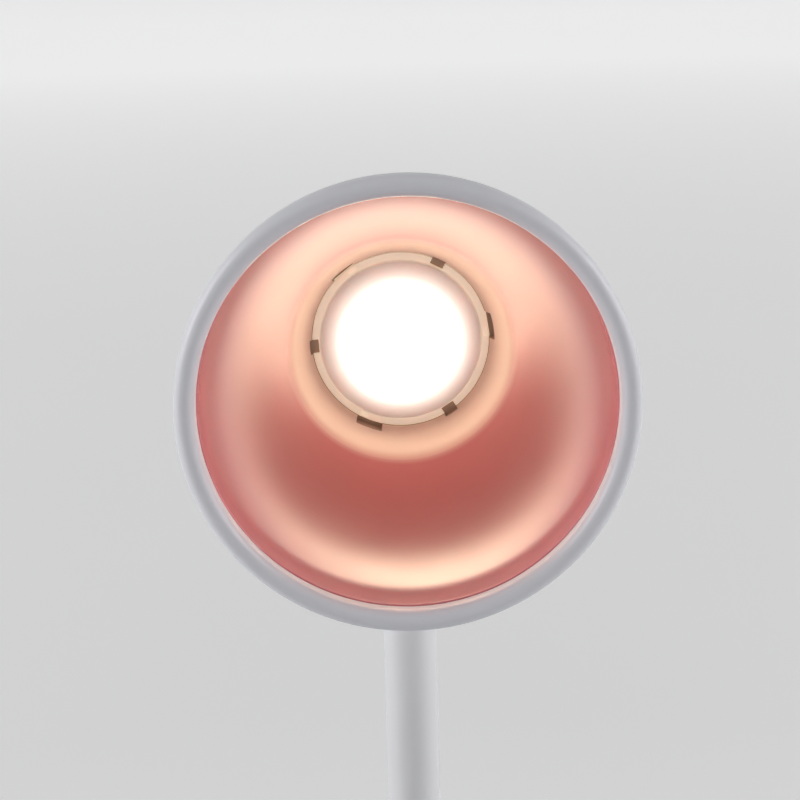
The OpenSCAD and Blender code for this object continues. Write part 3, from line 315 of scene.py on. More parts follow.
class Finish(Nodes):
    """A material with a Principled shader, and short ways to add what real surfaces show."""

    def __init__(self, name, colour, roughness, metallic=0.0, turn=(0, 0, 0)):
        self.material = bpy.data.materials.new(name)
        self.material.use_nodes = True
        super().__init__(self.material.node_tree)
        self.shader = self.tree.nodes["Principled BSDF"]
        self.put("Base Color", colour)
        self.put("Roughness", roughness)
        self.put("Metallic", metallic)
        mapping = self.add("ShaderNodeMapping")
        mapping.inputs["Rotation"].default_value = turn
        self.join(self.add("ShaderNodeTexCoord").outputs["Object"], mapping.inputs["Vector"])
        self.place = mapping.outputs["Vector"]

    def put(self, socket, value):
        """Sets one of the shader's sockets."""
        self.feed(self.shader.inputs[socket], value)

    def coat(self, weight, roughness):
        """A clear film over the surface."""
        self.put("Coat Weight", weight)
        self.put("Coat Roughness", roughness)

    def texture(self, kind, size, **values):
        """A pattern about size across, in metres, placed by the object's own coordinates."""
        node = self.add(kind, **values)
        node.inputs["Scale"].default_value = 1 / size
        self.join(self.place, node.inputs["Vector"])
        return node

    def noise(self, size, detail=3.0):
        """Cloudy noise."""
        node = self.texture("ShaderNodeTexNoise", size)
        node.inputs["Detail"].default_value = detail
        return node.outputs["Fac"]

    def cells(self, size):
        """Grains."""
        return self.texture("ShaderNodeTexVoronoi", size).outputs["Distance"]

    def lines(self, size, direction, distortion):
        """Parallel lines, size apart; a wave texture repeats every 0.314 of its own units."""
        node = self.texture("ShaderNodeTexWave", size / 0.314, bands_direction=direction)
        node.inputs["Distortion"].default_value = distortion
        node.inputs["Detail"].default_value = 2.0
        return node.outputs["Fac"]

    def mix(self, first, second, share):
        """The colour between two colours, by a share from 0 to 1."""
        node = self.add("ShaderNodeMix", data_type="RGBA")
        self.feed(node.inputs["A"], first)
        self.feed(node.inputs["B"], second)
        self.join(share, node.inputs["Factor"])
        return node.outputs["Result"]

    def tint(self, source, low, high):
        """Colours the surface between two colours by a pattern."""
        self.put("Base Color", self.mix(low, high, self.spread(source, 0.0, 1.0)))

    def rough(self, source, low, high):
        """Spreads the surface's roughness from low to high by a pattern."""
        self.put("Roughness", self.spread(source, low, high))

    def bump(self, source, depth):
        """Raises the pattern by depth, in metres, over what is raised already."""
        node = self.add("ShaderNodeBump")
        node.inputs["Distance"].default_value = depth
        self.join(source, node.inputs["Height"])
        below = self.shader.inputs["Normal"].links
        if below:
            self.join(below[0].from_socket, node.inputs["Normal"])
        self.put("Normal", node.outputs["Normal"])

    def glow(self, colour, strength):
        """Light that the surface gives."""
        self.put("Emission Color", colour)
        self.put("Emission Strength", strength)

    def depth(self):
        """Distance behind the head's mouth."""
        apart = self.add("ShaderNodeSeparateXYZ")
        self.join(self.place, apart.inputs[0])
        return self.sum("SUBTRACT", apart.outputs["Y"], MOUTH_Y)

    def radius(self, centre=(0, 0, AXIS_Z), mask=(1, 0, 1)):
        """Distance from an axis, the head's unless another is named: the place less its centre, kept only
        across the axis, and then its length."""
        less, keep, length = (self.add("ShaderNodeVectorMath", operation=operation)
                              for operation in ("SUBTRACT", "MULTIPLY", "LENGTH"))
        less.inputs[1].default_value, keep.inputs[1].default_value = centre, mask
        self.join(self.place, less.inputs[0])
        self.join(less.outputs[0], keep.inputs[0])
        self.join(keep.outputs[0], length.inputs[0])
        return length.outputs["Value"]


def shade(colour, *shares):
    """The colour times one share, or times a share each for its red, green and blue."""
    return tuple(c * k for c, k in zip(colour, shares * 3 if len(shares) == 1 else shares))


def moulded_white(name, colour, roughness=0.38):
    """Satin moulded plastic: a faint cloud in its colour and gloss, and the fine grain of the tool."""
    f = Finish(name, colour, roughness)
    f.tint(f.noise(26 * MM, 2.0), colour, shade(colour, 0.985, 0.98, 0.97))
    f.rough(f.noise(9 * MM, 4.0), roughness - 0.05, roughness + 0.06)
    f.bump(f.noise(0.35 * MM, 2.0), 0.004 * MM)
    return f.material


def gloss_coral(name, colours, shape):
    """Coral gloss sprayed over pale satin plastic: the collar was masked, so the coral fades out over its
    rounded edge. The diffuser's seat behind it and the hooks' slots are painted dark, a painted shade for where
    they lie in shadow. The coral has a slight cloud, and its gloss varies."""
    f = Finish(name, colours.coral, 0.26)
    away, depth, collar = f.radius(), f.depth(), shape.collar_radius
    sprayed = f.spread(away, 0.0, 1.0, collar - 1 * MM, collar + 2 * MM, "SMOOTHSTEP")
    cloud = f.spread(f.noise(30 * MM, 2.0), 0.0, 1.0)
    coral = f.mix(colours.coral, shade(colours.coral, 0.97, 0.92, 0.93), cloud)
    lean = (collar - shape.lens_radius) / (shape.lens_depth - shape.collar_depth)
    # Painted shade: the seat behind the diffuser's flange and the hooks' slots are coloured dark with the seat
    # colour, where they lie in shadow
    cone = f.sum("SUBTRACT", collar + lean * shape.collar_depth + 0.2 * MM, f.sum("MULTIPLY", depth, lean))
    behind_lens = f.sum("GREATER_THAN", depth, shape.lens_depth - 0.1 * MM)
    in_slot = f.sum("MULTIPLY", f.sum("GREATER_THAN", away, cone), f.sum("GREATER_THAN", depth, 70 * MM))
    seat_shade_share = f.sum("MAXIMUM", behind_lens, in_slot)
    f.put("Base Color", f.mix(f.mix(colours.collar, coral, sprayed), colours.seat, seat_shade_share))
    gloss = f.sum("MULTIPLY", f.spread(f.noise(12 * MM), 0.18, 0.21), sprayed)
    satin = f.sum("MULTIPLY", f.sum("SUBTRACT", 1.0, sprayed), 0.42)
    f.put("Roughness", f.sum("ADD", gloss, satin))
    f.bump(f.noise(0.6 * MM, 2.0), 0.001 * MM)
    return f.material


def lit_diffuser(name, colours, shape):
    """Milky plastic lit from behind. Its glow is a flat-topped bell over the radius, the strength times e to
    the power of less the radius over the spread raised to the flatness, with a faint halo that falls evenly
    to the dome's foot. The light is warm in the middle and paler round it, and a little strays on into the
    flange."""
    f = Finish(name, colours.diffuser, 0.32)
    f.tint(f.noise(5 * MM), colours.diffuser, shade(colours.diffuser, 0.97))
    f.rough(f.noise(2 * MM), 0.28, 0.38)
    f.put("Subsurface Weight", 0.15)
    f.put("Subsurface Scale", 1.5 * MM)
    away = f.radius()
    share = f.sum("POWER", f.sum("DIVIDE", away, colours.glow_spread), colours.glow_flatness)
    bell = f.sum("MULTIPLY", f.sum("EXPONENT", f.sum("MULTIPLY", share, -1.0)), colours.glow_strength)
    halo = f.spread(away, colours.halo_strength, colours.halo_foot, 0.0, shape.dome_radius)
    flange = f.sum("GREATER_THAN", away, shape.dome_radius + 0.25 * MM)
    stray = f.sum("MULTIPLY", flange, colours.flange_glow)
    pale = f.sum("MULTIPLY", f.spread(away, 0.0, 1.0, 11 * MM, 15 * MM), f.sum("SUBTRACT", 1.0, flange))
    f.glow(f.mix(colours.glow, colours.halo, pale), f.sum("ADD", f.sum("ADD", bell, halo), stray))
    return f.material


def powder_coat(name, colour):
    """Powder coat on a tube: the fine pebbled skin of baked powder, and a soft sheen."""
    f = Finish(name, colour, 0.42)
    f.tint(f.noise(14 * MM), colour, shade(colour, 0.975))
    f.rough(f.noise(3 * MM), 0.38, 0.48)
    f.bump(f.cells(0.55 * MM), 0.006 * MM)
    f.bump(f.noise(0.2 * MM, 2.0), 0.003 * MM)
    return f.material


def bright_metal(name, colour, roughness, line_size, turn=(0, 0, 0)):
    """Drawn or machined metal: fine parallel lines, with cloudy wear in its shine."""
    f = Finish(name, colour, roughness, metallic=1.0, turn=turn)
    f.tint(f.noise(4 * MM), colour, shade(colour, 0.9))
    f.rough(f.noise(2.5 * MM, 4.0), roughness - 0.08, roughness + 0.12)
    f.bump(f.lines(line_size, "Z", 1.5), 0.003 * MM)
    return f.material


def soft_rubber(name, colour):
    """Matt rubber: a dusty bloom over the dark, and a fine dry grain."""
    f = Finish(name, colour, 0.75)
    f.tint(f.noise(3 * MM, 5.0), colour, tuple(c * 1.5 + 0.006 for c in colour))
    f.rough(f.noise(1.2 * MM), 0.68, 0.86)
    f.bump(f.noise(0.25 * MM), 0.012 * MM)
    return f.material


def dark_moulding(name, colour):
    """Technical plastic: an even fine spark texture with small gloss changes."""
    f = Finish(name, colour, 0.5)
    f.tint(f.noise(6 * MM), colour, shade(colour, 1.25))
    f.rough(f.noise(1.5 * MM), 0.42, 0.6)
    f.bump(f.cells(0.3 * MM), 0.006 * MM)
    return f.material


def cast_plate(name, colour):
    """Zinc-plated steel weight: crystal spangle in colour and shine, and a slightly pitted skin."""
    f = Finish(name, colour, 0.45, metallic=0.85)
    f.tint(f.cells(3 * MM), shade(colour, 0.85), shade(colour, 1.15))
    f.rough(f.cells(3 * MM), 0.34, 0.55)
    f.bump(f.noise(0.9 * MM, 5.0), 0.03 * MM)
    return f.material


def printed_board(name, colour, track):
    """Circuit board: paler tracks under a green mask, drawn by small stepped cells that stand up a little."""
    f = Finish(name, colour, 0.35)
    f.coat(0.4, 0.15)
    bricks = f.texture("ShaderNodeTexBrick", 7 * MM)
    bricks.inputs["Mortar Size"].default_value = 0.07
    for socket, value in (("Color1", colour), ("Color2", shade(colour, 0.82)), ("Mortar", track)):
        f.feed(bricks.inputs[socket], value)
    f.put("Base Color", bricks.outputs["Color"])
    f.rough(f.noise(1.5 * MM, 2.0), 0.3, 0.42)
    f.bump(bricks.outputs["Fac"], 0.02 * MM)
    return f.material


def white_board(name, colour, worn):
    """White solder mask over the light's board, ribbed by the copper under it."""
    f = Finish(name, colour, 0.35)
    f.tint(f.noise(4 * MM), colour, worn)
    f.rough(f.noise(1.5 * MM), 0.3, 0.45)
    f.bump(f.lines(2.4 * MM, "X", 0.0), 0.015 * MM)
    return f.material


def silicone_pad(name, colour, low, high):
    """Soft filled silicone: grey-blue grains in a matt skin."""
    f = Finish(name, colour, 0.7)
    f.tint(f.cells(0.8 * MM), low, high)
    f.rough(f.noise(0.8 * MM), 0.6, 0.8)
    f.bump(f.noise(0.5 * MM, 2.0), 0.02 * MM)
    return f.material


def wire_skin(name, colour):
    """Wire insulation: a slight lengthwise draw and soft gloss."""
    f = Finish(name, colour, 0.42)
    f.tint(f.noise(5 * MM, 2.0), colour, shade(colour, 0.92))
    f.rough(f.noise(1.2 * MM, 2.0), 0.36, 0.5)
    f.bump(f.noise(0.5 * MM, 2.0), 0.01 * MM)
    return f.material


def shrink_wrap(name, colour):
    """Shrink wrap on a cell: fine ripples round the ends and an even satin film."""
    f = Finish(name, colour, 0.3)
    f.coat(0.3, 0.2)
    f.tint(f.noise(9 * MM, 2.0), colour, shade(colour, 0.88))
    f.rough(f.noise(3 * MM), 0.26, 0.4)
    f.bump(f.lines(1.6 * MM, "X", 3.0), 0.012 * MM)
    return f.material


def lit_chip(name, carrier, phosphor):
    """Light chip: a round field of phosphor grains on a white carrier."""
    f = Finish(name, carrier, 0.4)
    f.put("Base Color", f.mix(carrier, phosphor, f.sum("LESS_THAN", f.radius(), 5.05 * MM)))
    f.rough(f.noise(0.8 * MM), 0.35, 0.55)
    f.bump(f.cells(0.4 * MM), 0.02 * MM)
    return f.material


def pipe_light(name, colour, light):
    """Clear light pipe with a faint light in it."""
    f = Finish(name, colour, 0.15)
    f.put("Transmission Weight", 0.4)
    f.put("IOR", 1.5)
    f.glow(light, f.spread(f.noise(1.5 * MM), 0.35, 0.6))
    f.rough(f.noise(0.8 * MM, 2.0), 0.1, 0.25)
    return f.material


# Sizes and colours that a user would change

def length(name, description, size):
    """A length, given in millimetres."""
    return FloatProperty(name=name, description=description, default=size * MM, unit="LENGTH")


def angle(name, description, degrees):
    """An angle, given in degrees."""
    return FloatProperty(name=name, description=description, default=math.radians(degrees), subtype="ANGLE")


def amount(name, description, default, unit="NONE"):
    """A strength or a power that isn't negative."""
    return FloatProperty(name=name, description=description, default=default, min=0, unit=unit)


def colour(name, description, *default):
    """A colour."""
    return FloatVectorProperty(name=name, description=description, default=default, subtype="COLOR", size=3,
                               min=0, max=1)


class LampShape(bpy.types.PropertyGroup):
    ring_depth: length("Ring depth", "Depth of the front ring's band", 5.2)
    rim_inner: length("Rim inner radius", "Radius at which the ring's rim meets the bowl", 49.8)
    shell_front: length("Shell front radius", "Radius of the shell behind the ring", 54.2)
    shell_wall: length("Shell wall", "Wall of the head shell", 2)
    oval_lead: length("Oval lead", "How far before the mouth the oval is widest", 25)
    bowl_mouth: length("Bowl mouth radius", "Radius of the bowl at the ring", 49.5)
    bowl_straight: length("Straight depth", "Depth at which the bowl's straight wall ends", 13.4)
    bowl_turn: length("Bend length", "Length of the quick bend behind the straight wall", 5.5)
    bowl_lean: angle("Bend lean", "Lean of the bowl's wall at the end of the quick bend", 10.6)
    collar_depth: length("Collar depth", "Depth of the collar's edge behind the mouth", 64.6)
    collar_radius: length("Collar radius", "Radius of the collar's edge", 28.4)
    collar_ease: length("Collar rounding", "Length of the rounding on each side of the collar's corner", 2.8)
    lens_depth: length("Diffuser depth", "Depth of the diffuser's flange", 77.1)
    lens_radius: length("Diffuser radius", "Radius of the diffuser's flange", 23.4)
    dome_radius: length("Dome radius", "Radius of the diffuser's dome at its foot", 21.1)
    dome_rise: length("Dome rise", "Rise of the diffuser's dome", 5)
    hook_angle: angle("Hook angle", "Angle of the first snap hook, seen from the front", 128)
    notch_angle: angle("Notch angle", "Angle of the first notch, seen from the front", 63)
    base_round: length("Base rounding", "Radius of the base's upper edge", 8)
    button_radius: length("Button radius", "Radius of the power button", 8)


class LampColours(bpy.types.PropertyGroup):
    shell: colour("Shell", "Colour of the white mouldings", 0.75, 0.755, 0.80)
    stem: colour("Stem", "Colour of the powder coat", 0.76, 0.76, 0.78)
    coral: colour("Coral", "Colour of the bowl", 0.65, 0.208, 0.232)
    collar: colour("Collar", "Colour of the pale collar round the diffuser", 0.94, 0.77, 0.64)
    # Painted shade: a dark colour painted on the diffuser's seat and in the slots and notches, where they lie
    # in shadow
    seat: colour("Seat", "Colour of the diffuser's seat, seen in slots and notches", 0.52, 0.39, 0.31)
    diffuser: colour("Diffuser", "Colour of the unlit diffuser", 0.86, 0.88, 0.84)
    glow: colour("Glow", "Colour of the light", 1.0, 0.78, 0.55)
    halo: colour("Halo", "Colour of the light round the diffuser's rim", 1.0, 0.97, 0.86)
    glow_strength: amount("Glow strength", "Brightness at the diffuser's middle", 15.5)
    glow_spread: length("Glow spread", "Radius over which the glow falls away", 10.5)
    glow_flatness: amount("Glow flatness", "How flat the glow is in its middle before it falls away", 2.6)
    halo_strength: amount("Halo strength", "Brightness of the faint halo at the middle", 1.6)
    halo_foot: amount("Halo foot", "Brightness of the faint halo at the dome's foot", 0.1)
    flange_glow: amount("Flange glow", "Brightness of the flange", 0.28)


class StageLook(bpy.types.PropertyGroup):
    floor: colour("Floor", "Colour of the floor and backdrop", 0.86, 0.86, 0.87)
    paleness: amount("Floor paleness", "How much paler the floor is seen than it is lit", 0.20)
    far_paleness: amount("Far paleness", "The same, four metres away and farther", 0.62)
    pale_sky: amount("Pale surround", "Strength of the surround where it is seen or mirrored", 0.74)
    sky: amount("Surround", "Strength of the even light all round", 0.11)
    left: amount("Left lamp", "Power of the soft lamp on the left", 42, "POWER")
    right: amount("Right lamp", "Power of the soft lamp on the right", 40, "POWER")


def place_piece(piece, material, body, slot, *nodes):
    """Gives a finished piece its material and body, and hides the CAD nodes that it stands for. The slot is not
    used.
    """
    piece.data.materials.clear()
    piece.data.materials.append(material)
    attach(piece, body)
    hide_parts(*nodes)


def dress(material, *nodes):
    """Gives CAD nodes that show as they are a finish."""
    for name in nodes:
        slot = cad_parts[name].material_slots[0]
        slot.link = "OBJECT"
        slot.material = material


# Head

class LAMP_OT_front_ring(bpy.types.Operator):
    """White ring round the mouth: a bull-nosed rim with a skirt and a snap bead behind it"""
    bl_idname = "bedside_lamp.front_ring"
    bl_label = "Front ring"

    def execute(self, context):
        shape, colours = context.scene.lamp_shape, context.scene.lamp_colours
        depth, inner = shape.ring_depth, shape.rim_inner
        nose = (RING_R - inner) / 2
        skirt_gap, skirt_wall, skirt_len = 2.2 * MM, 0.9 * MM, 5.3 * MM
        skirt_out, skirt_end, bead = shape.shell_front - skirt_gap, depth + skirt_len, depth + BEAD_AT
        skirt_in = skirt_out - skirt_wall
        rim = circle_part((RING_R - nose, nose), nose, 0, -180, 49)
        back = eased([[inner, nose], [inner, depth], [skirt_in, depth], [skirt_in, skirt_end],
                      [skirt_out - BEAD_HIGH, skirt_end], [skirt_out, bead + BEAD_HALF],
                      [skirt_out + BEAD_HIGH, bead], [skirt_out, bead - BEAD_HALF], [skirt_out, depth],
                      [RING_R, depth], [RING_R, nose]],
                     [0, 0.3, 0.05, 0.2, 0.15, 0.1, 0.15, 0.1, 0.05, 0.35, 0])
        piece = put_mesh("ring_moulding", [turned(np.concatenate([rim, back]), 288, "head")], looped=True)
        white = moulded_white("white_ring_plastic", colours.shell, 0.42)
        place_piece(piece, white, "head", "white_shell", "front_ring")
        return {"FINISHED"}


def bowl_wall(shape, count):
    """The bowl's wall as (radius, depth): straight back from the mouth, then less half the curl times the
    square of the depth past the straight wall, and, behind the quick bend, less half the change of curl times
    the square of the depth past it, so that it ends at the collar's edge."""
    curl = math.tan(shape.bowl_lean) / shape.bowl_turn
    past_straight, past_turn = shape.bowl_straight, shape.bowl_straight + shape.bowl_turn
    drop = shape.bowl_mouth - shape.collar_radius - curl / 2 * (shape.collar_depth - past_straight) ** 2
    change = 2 * drop / (shape.collar_depth - past_turn) ** 2
    u = ramp(shape.ring_depth, shape.collar_depth, count)
    r = (shape.bowl_mouth - curl / 2 * np.maximum(0, u - past_straight) ** 2
         - change / 2 * np.maximum(0, u - past_turn) ** 2)
    return np.stack([r, u], 1)


class LAMP_OT_reflector(bpy.types.Operator):
    """Coral bowl: wall, eased collar, the diffuser's seat with its slots and recesses, and screw bosses"""
    bl_idname = "bedside_lamp.reflector"
    bl_label = "Reflector"

    def execute(self, context):
        shape, colours = context.scene.lamp_shape, context.scene.lamp_colours
        mouth, crisp_deg = shape.ring_depth, 40
        # Radii of the flange's pocket, the ledge behind it and the neck round the light
        pocket, ledge_r = shape.lens_radius + LENS_FIT, shape.dome_radius - 0.8 * MM
        neck_in, neck_out = shape.lens_radius + 1.4 * MM, shape.lens_radius + 3 * MM
        # Depths of the pocket's front, the ledge's two faces and the heat sink's plate
        front, ledge = shape.lens_depth - 0.2 * MM, shape.lens_depth + 1.3 * MM
        ledge_back, plate = ledge + 1.4 * MM, ledge + 6.2 * MM
        wall = bowl_wall(shape, 120)
        along = (wall[-1] - wall[-2]) / np.linalg.norm(wall[-1] - wall[-2])
        corner = wall[-1] + along * shape.collar_ease
        back = np.array([pocket, front]) - corner
        start = corner - along * shape.collar_ease
        end = corner + back * (shape.collar_ease / np.linalg.norm(back))
        collar = bend(start, corner, end, ramp(0, 1, 25)[:, None])
        outer = shifted(wall, 1.2 * MM)[::-1]
        outer = outer[(outer[:, 1] < front - 6 * MM) & (outer[:, 1] > mouth)]
        seat = eased([collar[-1], [pocket, front], [pocket, ledge], [ledge_r, ledge], [ledge_r, ledge_back],
                      [neck_in, ledge_back], [neck_in, plate], [neck_out, plate],
                      [neck_out, front - 3.7 * MM], outer[0]], [0, 0.25, 0, 0.2, 0.2, 0.1, 0.2, 0.2, 1, 0])
        inner = wall[:-1][wall[:-1, 1] > mouth + 0.5 * MM]
        lip = np.concatenate([[[wall[0, 0] + 1.1 * MM, mouth]],
                              circle_part(wall[0] + 0.5 * MM, 0.5 * MM, 270, 180, 9)])
        outline = np.concatenate([inner, collar, seat, outer, lip])
        piece = put_mesh("coral_bowl", [turned(outline, 240, "head")], looped=True, sharp_deg=crisp_deg)
        slot_out, slot_half, slot_front = 1.25 * MM, 3.6 * MM, 3.4 * MM
        cuts = []
        for third in THIRDS:
            hook, notch = math.degrees(shape.hook_angle) + third, math.degrees(shape.notch_angle) + third
            cuts += [head_box(hook, neck_in - 6 * MM, pocket + slot_out, slot_half, front - slot_front,
                              ledge + 0.12 * MM),
                     head_box(hook, pocket - 1.8 * MM, pocket - 0.06 * MM, slot_half - 0.1 * MM,
                              ledge - 1 * MM, ledge_back + 1 * MM),
                     head_box(notch, pocket - 1.9 * MM, pocket + 0.7 * MM, NOTCH_HALF, front - 1.4 * MM,
                              ledge + 0.08 * MM)]
        lead_way = head_box(270, neck_in - 1 * MM, neck_out + 2 * MM, 2 * MM, ledge_back, plate + 1 * MM)
        cut(piece, cuts + [lead_way], crisp_deg)
        hole, boss_r, boss_at = 1 * MM, 2.4 * MM, neck_in + 2.5 * MM
        boss = eased([[hole, plate - 7 * MM], [hole, plate], [boss_r, plate], [boss_r, plate - 8.5 * MM],
                      [0, plate - 8.5 * MM], [0, plate - 7 * MM]], [0, 0.1, 0.2, 0.3, 0, 0], 5)
        bosses = [turned(boss, 32, "head") + boss_at * spoke(deg)[0] for deg in (90, 210, 330)]
        piece = joined("coral_bowl", [piece, put_mesh("bosses", bosses, looped=True)], crisp_deg)
        coral = gloss_coral("coral_gloss_plastic", colours, shape)
        place_piece(piece, coral, "head", "coral_bowl", "reflector")
        return {"FINISHED"}


class LAMP_OT_diffuser(bpy.types.Operator):
    """Milky diffuser: a low dome in a flat flange, three notches and three snap hooks with ramped barbs"""
    bl_idname = "bedside_lamp.diffuser"
    bl_label = "Diffuser"

    def execute(self, context):
        shape, colours = context.scene.lamp_shape, context.scene.lamp_colours
        wall, depth, foot, crisp_deg = 1.2 * MM, shape.lens_depth, shape.dome_radius, 38
        rim, sunk = shape.lens_radius - LENS_FIT, 1 * MM
        ball = (foot**2 + shape.dome_rise**2) / (2 * shape.dome_rise)
        middle = depth - sunk - shape.dome_rise + ball
        r = ramp(0, foot - 0.1 * MM, 40)
        front = np.stack([r, middle - np.sqrt(ball**2 - r**2)], 1)
        r = ramp(foot - wall, 0, 24)
        back = np.stack([r, middle - np.sqrt((ball - wall) ** 2 - r**2)], 1)
        flange = eased([front[-1], [foot, depth - sunk], [foot + 0.3 * MM, depth], [rim, depth],
                        [rim, depth + wall], [foot - wall, depth + wall], back[0]],
                       [0, 0.1, 0.35, 0.2, 0.15, 0.1, 0])
        grid = turned(np.concatenate([front, flange, back]), 240, "head")
        piece = put_mesh("milky_diffuser", [grid], sharp_deg=crisp_deg)
        hooks_at, notches_at = ([math.degrees(first) + third for third in THIRDS]
                                for first in (shape.hook_angle, shape.notch_angle))
        notches = [head_box(at, shape.lens_radius - 1.8 * MM, shape.lens_radius + 1 * MM, NOTCH_HALF,
                            depth - 0.6 * MM, depth + wall + 0.6 * MM) for at in notches_at]
        head_pockets = [head_box(at - 5, rim - 1.25 * MM, rim - 0.45 * MM, 1.1 * MM, depth - 0.6 * MM,
                                 depth + 0.4 * MM) for at in hooks_at]
        cut(piece, notches + head_pockets, crisp_deg)
        # Each hook's outer face, its wall and half width, and its barb's reach, place and flat edge
        out, thick, half = shape.lens_radius - 0.2 * MM, 1.1 * MM, 3.2 * MM
        reach, barb, barb_edge = 0.8 * MM, depth + 2.8 * MM, depth + 3.3 * MM
        start, end = depth + 0.2 * MM, depth + 4.6 * MM
        side = eased([[out - thick, start], [out, start], [out, barb], [out + reach, barb],
                      [out + reach, barb_edge], [out - 0.1 * MM, end], [out - thick, end]],
                     [0, 0, 0.15, 0.1, 0.2, 0.3, 0.2], 4)
        hooks = []
        for across, around in map(spoke, hooks_at):
            ring = side[:, :1] * across + side[:, 1:] * [0, 1, 0] + [0, MOUTH_Y, AXIS_Z]
            hooks.append(capped(ring, -half * around, half * around))
        piece = joined("milky_diffuser", [piece, put_mesh("hooks", hooks)], crisp_deg)
        place_piece(piece, lit_diffuser("lit_milky_plastic", colours, shape), "head", "diffuser", "diffuser")
        return {"FINISHED"}


def oval_sizes(shape):
    """Half the oval's length and half its height, from its rear tip and its height behind the ring."""
    long = HEAD_LEN + shape.oval_lead
    return long, shape.shell_front / math.sqrt(1 - ((shape.ring_depth + shape.oval_lead) / long) ** 2)


def shell_radius(shape, depth):
    """Radius of the shell's oval at a depth behind the mouth: its half height times the square root of one
    less the square of the distance from its widest place over its half length."""
    long, high = oval_sizes(shape)
    return high * np.sqrt(np.maximum(0, 1 - ((depth + shape.oval_lead) / long) ** 2))


def oval_run(shape, start, inset, count):
    """The oval from a depth to its rear tip, stepped by its own angle so that the tip is smooth too: its half
    height times the cosine, and its half length times the sine, less its lead."""
    long, high = oval_sizes(shape)
    t = ramp(math.asin((start + shape.oval_lead) / (long - inset)), math.pi / 2, count)
    return np.stack([(high - inset) * np.cos(t), (long - inset) * np.sin(t) - shape.oval_lead], 1)


def hinge_block(shape):
    """The block under the shell as rows of rounded sections. Below the axle each section is the level cut of
    a thick disc with a rounded rim, above it the section widens with the square of its height, and near the
    shell it leaves the wall in a parabola that meets the shell's surface. The last rows run inside the
    shell's wall."""
    half, radius, ease, fillet = 10 * MM, 11 * MM, 1.2 * MM, 2.6 * MM
    gain, rise = 5 * MM, 24 * MM
    sunk, inside = 0.02 * MM, 1 * MM
    # A quarter of each section below the axle: its front, its rounded corner and its side
    low = radius * np.sin(np.radians(90 * (1 - ramp(0, 1, 22) ** 1.3)))[:, None]
    turn_end = np.arccos(np.clip((low - (radius - ease)) / ease, 0, 1))
    a = ramp(0, 1, 9) * turn_end
    bend_y = np.sqrt(np.maximum(0, (radius - ease + ease * np.cos(a)) ** 2 - low**2))
    bend_x = half - ease + ease * np.sin(a)
    front_x = (half - ease) * ramp(0, 1, 7) + 0 * low
    front_y = np.sqrt(np.maximum(0, radius**2 - low**2)) + 0 * front_x
    side_y = bend_y[:, -1:] * ramp(1, 0, 13)
    x = np.concatenate([front_x, bend_x, bend_x[:, -1:] + 0 * side_y], 1)
    y = np.concatenate([front_y, bend_y, side_y], 1)
    turn = np.concatenate([0 * front_x, a, turn_end + 0 * side_y], 1)[-1]
    out_x, out_y, top_x, top_y = np.sin(turn), np.cos(turn), x[-1], y[-1]

    def widened(height):
        """The quarter section's y at a height above the axle: wider by the gain times the square of the
        height over the rise."""
        wide = radius + gain * (height / rise) ** 2
        return np.where(out_x > 0.999, top_y * (wide - ease) / (radius - ease), top_y + wide - radius)

    def on_shell(x, y, above=0.0):
        """The places over points of the plan on the shell's lower surface, or a little above it."""
        r = shell_radius(shape, y - MOUTH_Y)
        return np.stack([x, y, AXIS_Z - np.sqrt(np.maximum(0, r**2 - x**2)) + above], -1)

    halves = []
    for sign in (1, -1):
        level = np.full_like(top_x, 12 * MM)
        for _ in range(6):
            level = on_shell(top_x, sign * widened(level))[:, 2] - fillet - HINGE_Z
        height = ramp(0, 1, 14)[1:, None] * level
        risen = np.stack([top_x + 0 * height, sign * widened(height), HINGE_Z + height], -1)
        wall_y = risen[-1, :, 1]
        away = on_shell(top_x + fillet * out_x, wall_y + sign * fillet * out_y, sunk)
        flare = bend(risen[-1], on_shell(top_x, wall_y), away, ramp(0, 1, 10)[1:, None, None])
        shrink = np.array([0.98, 0.75, 0.5, 0.25, 0.0])[:, None]
        hidden = on_shell(shrink * away[:, 0], shrink * away[:, 1], inside)
        disc = np.stack([x, sign * y, HINGE_Z - low + 0 * x], -1)
        halves.append(np.concatenate([disc, risen, flare, hidden]))
    rear, front = halves
    mirror = np.array([-1, 1, 1])
    return np.concatenate([rear, front[:, ::-1], front * mirror, rear[:, ::-1] * mirror], 1)


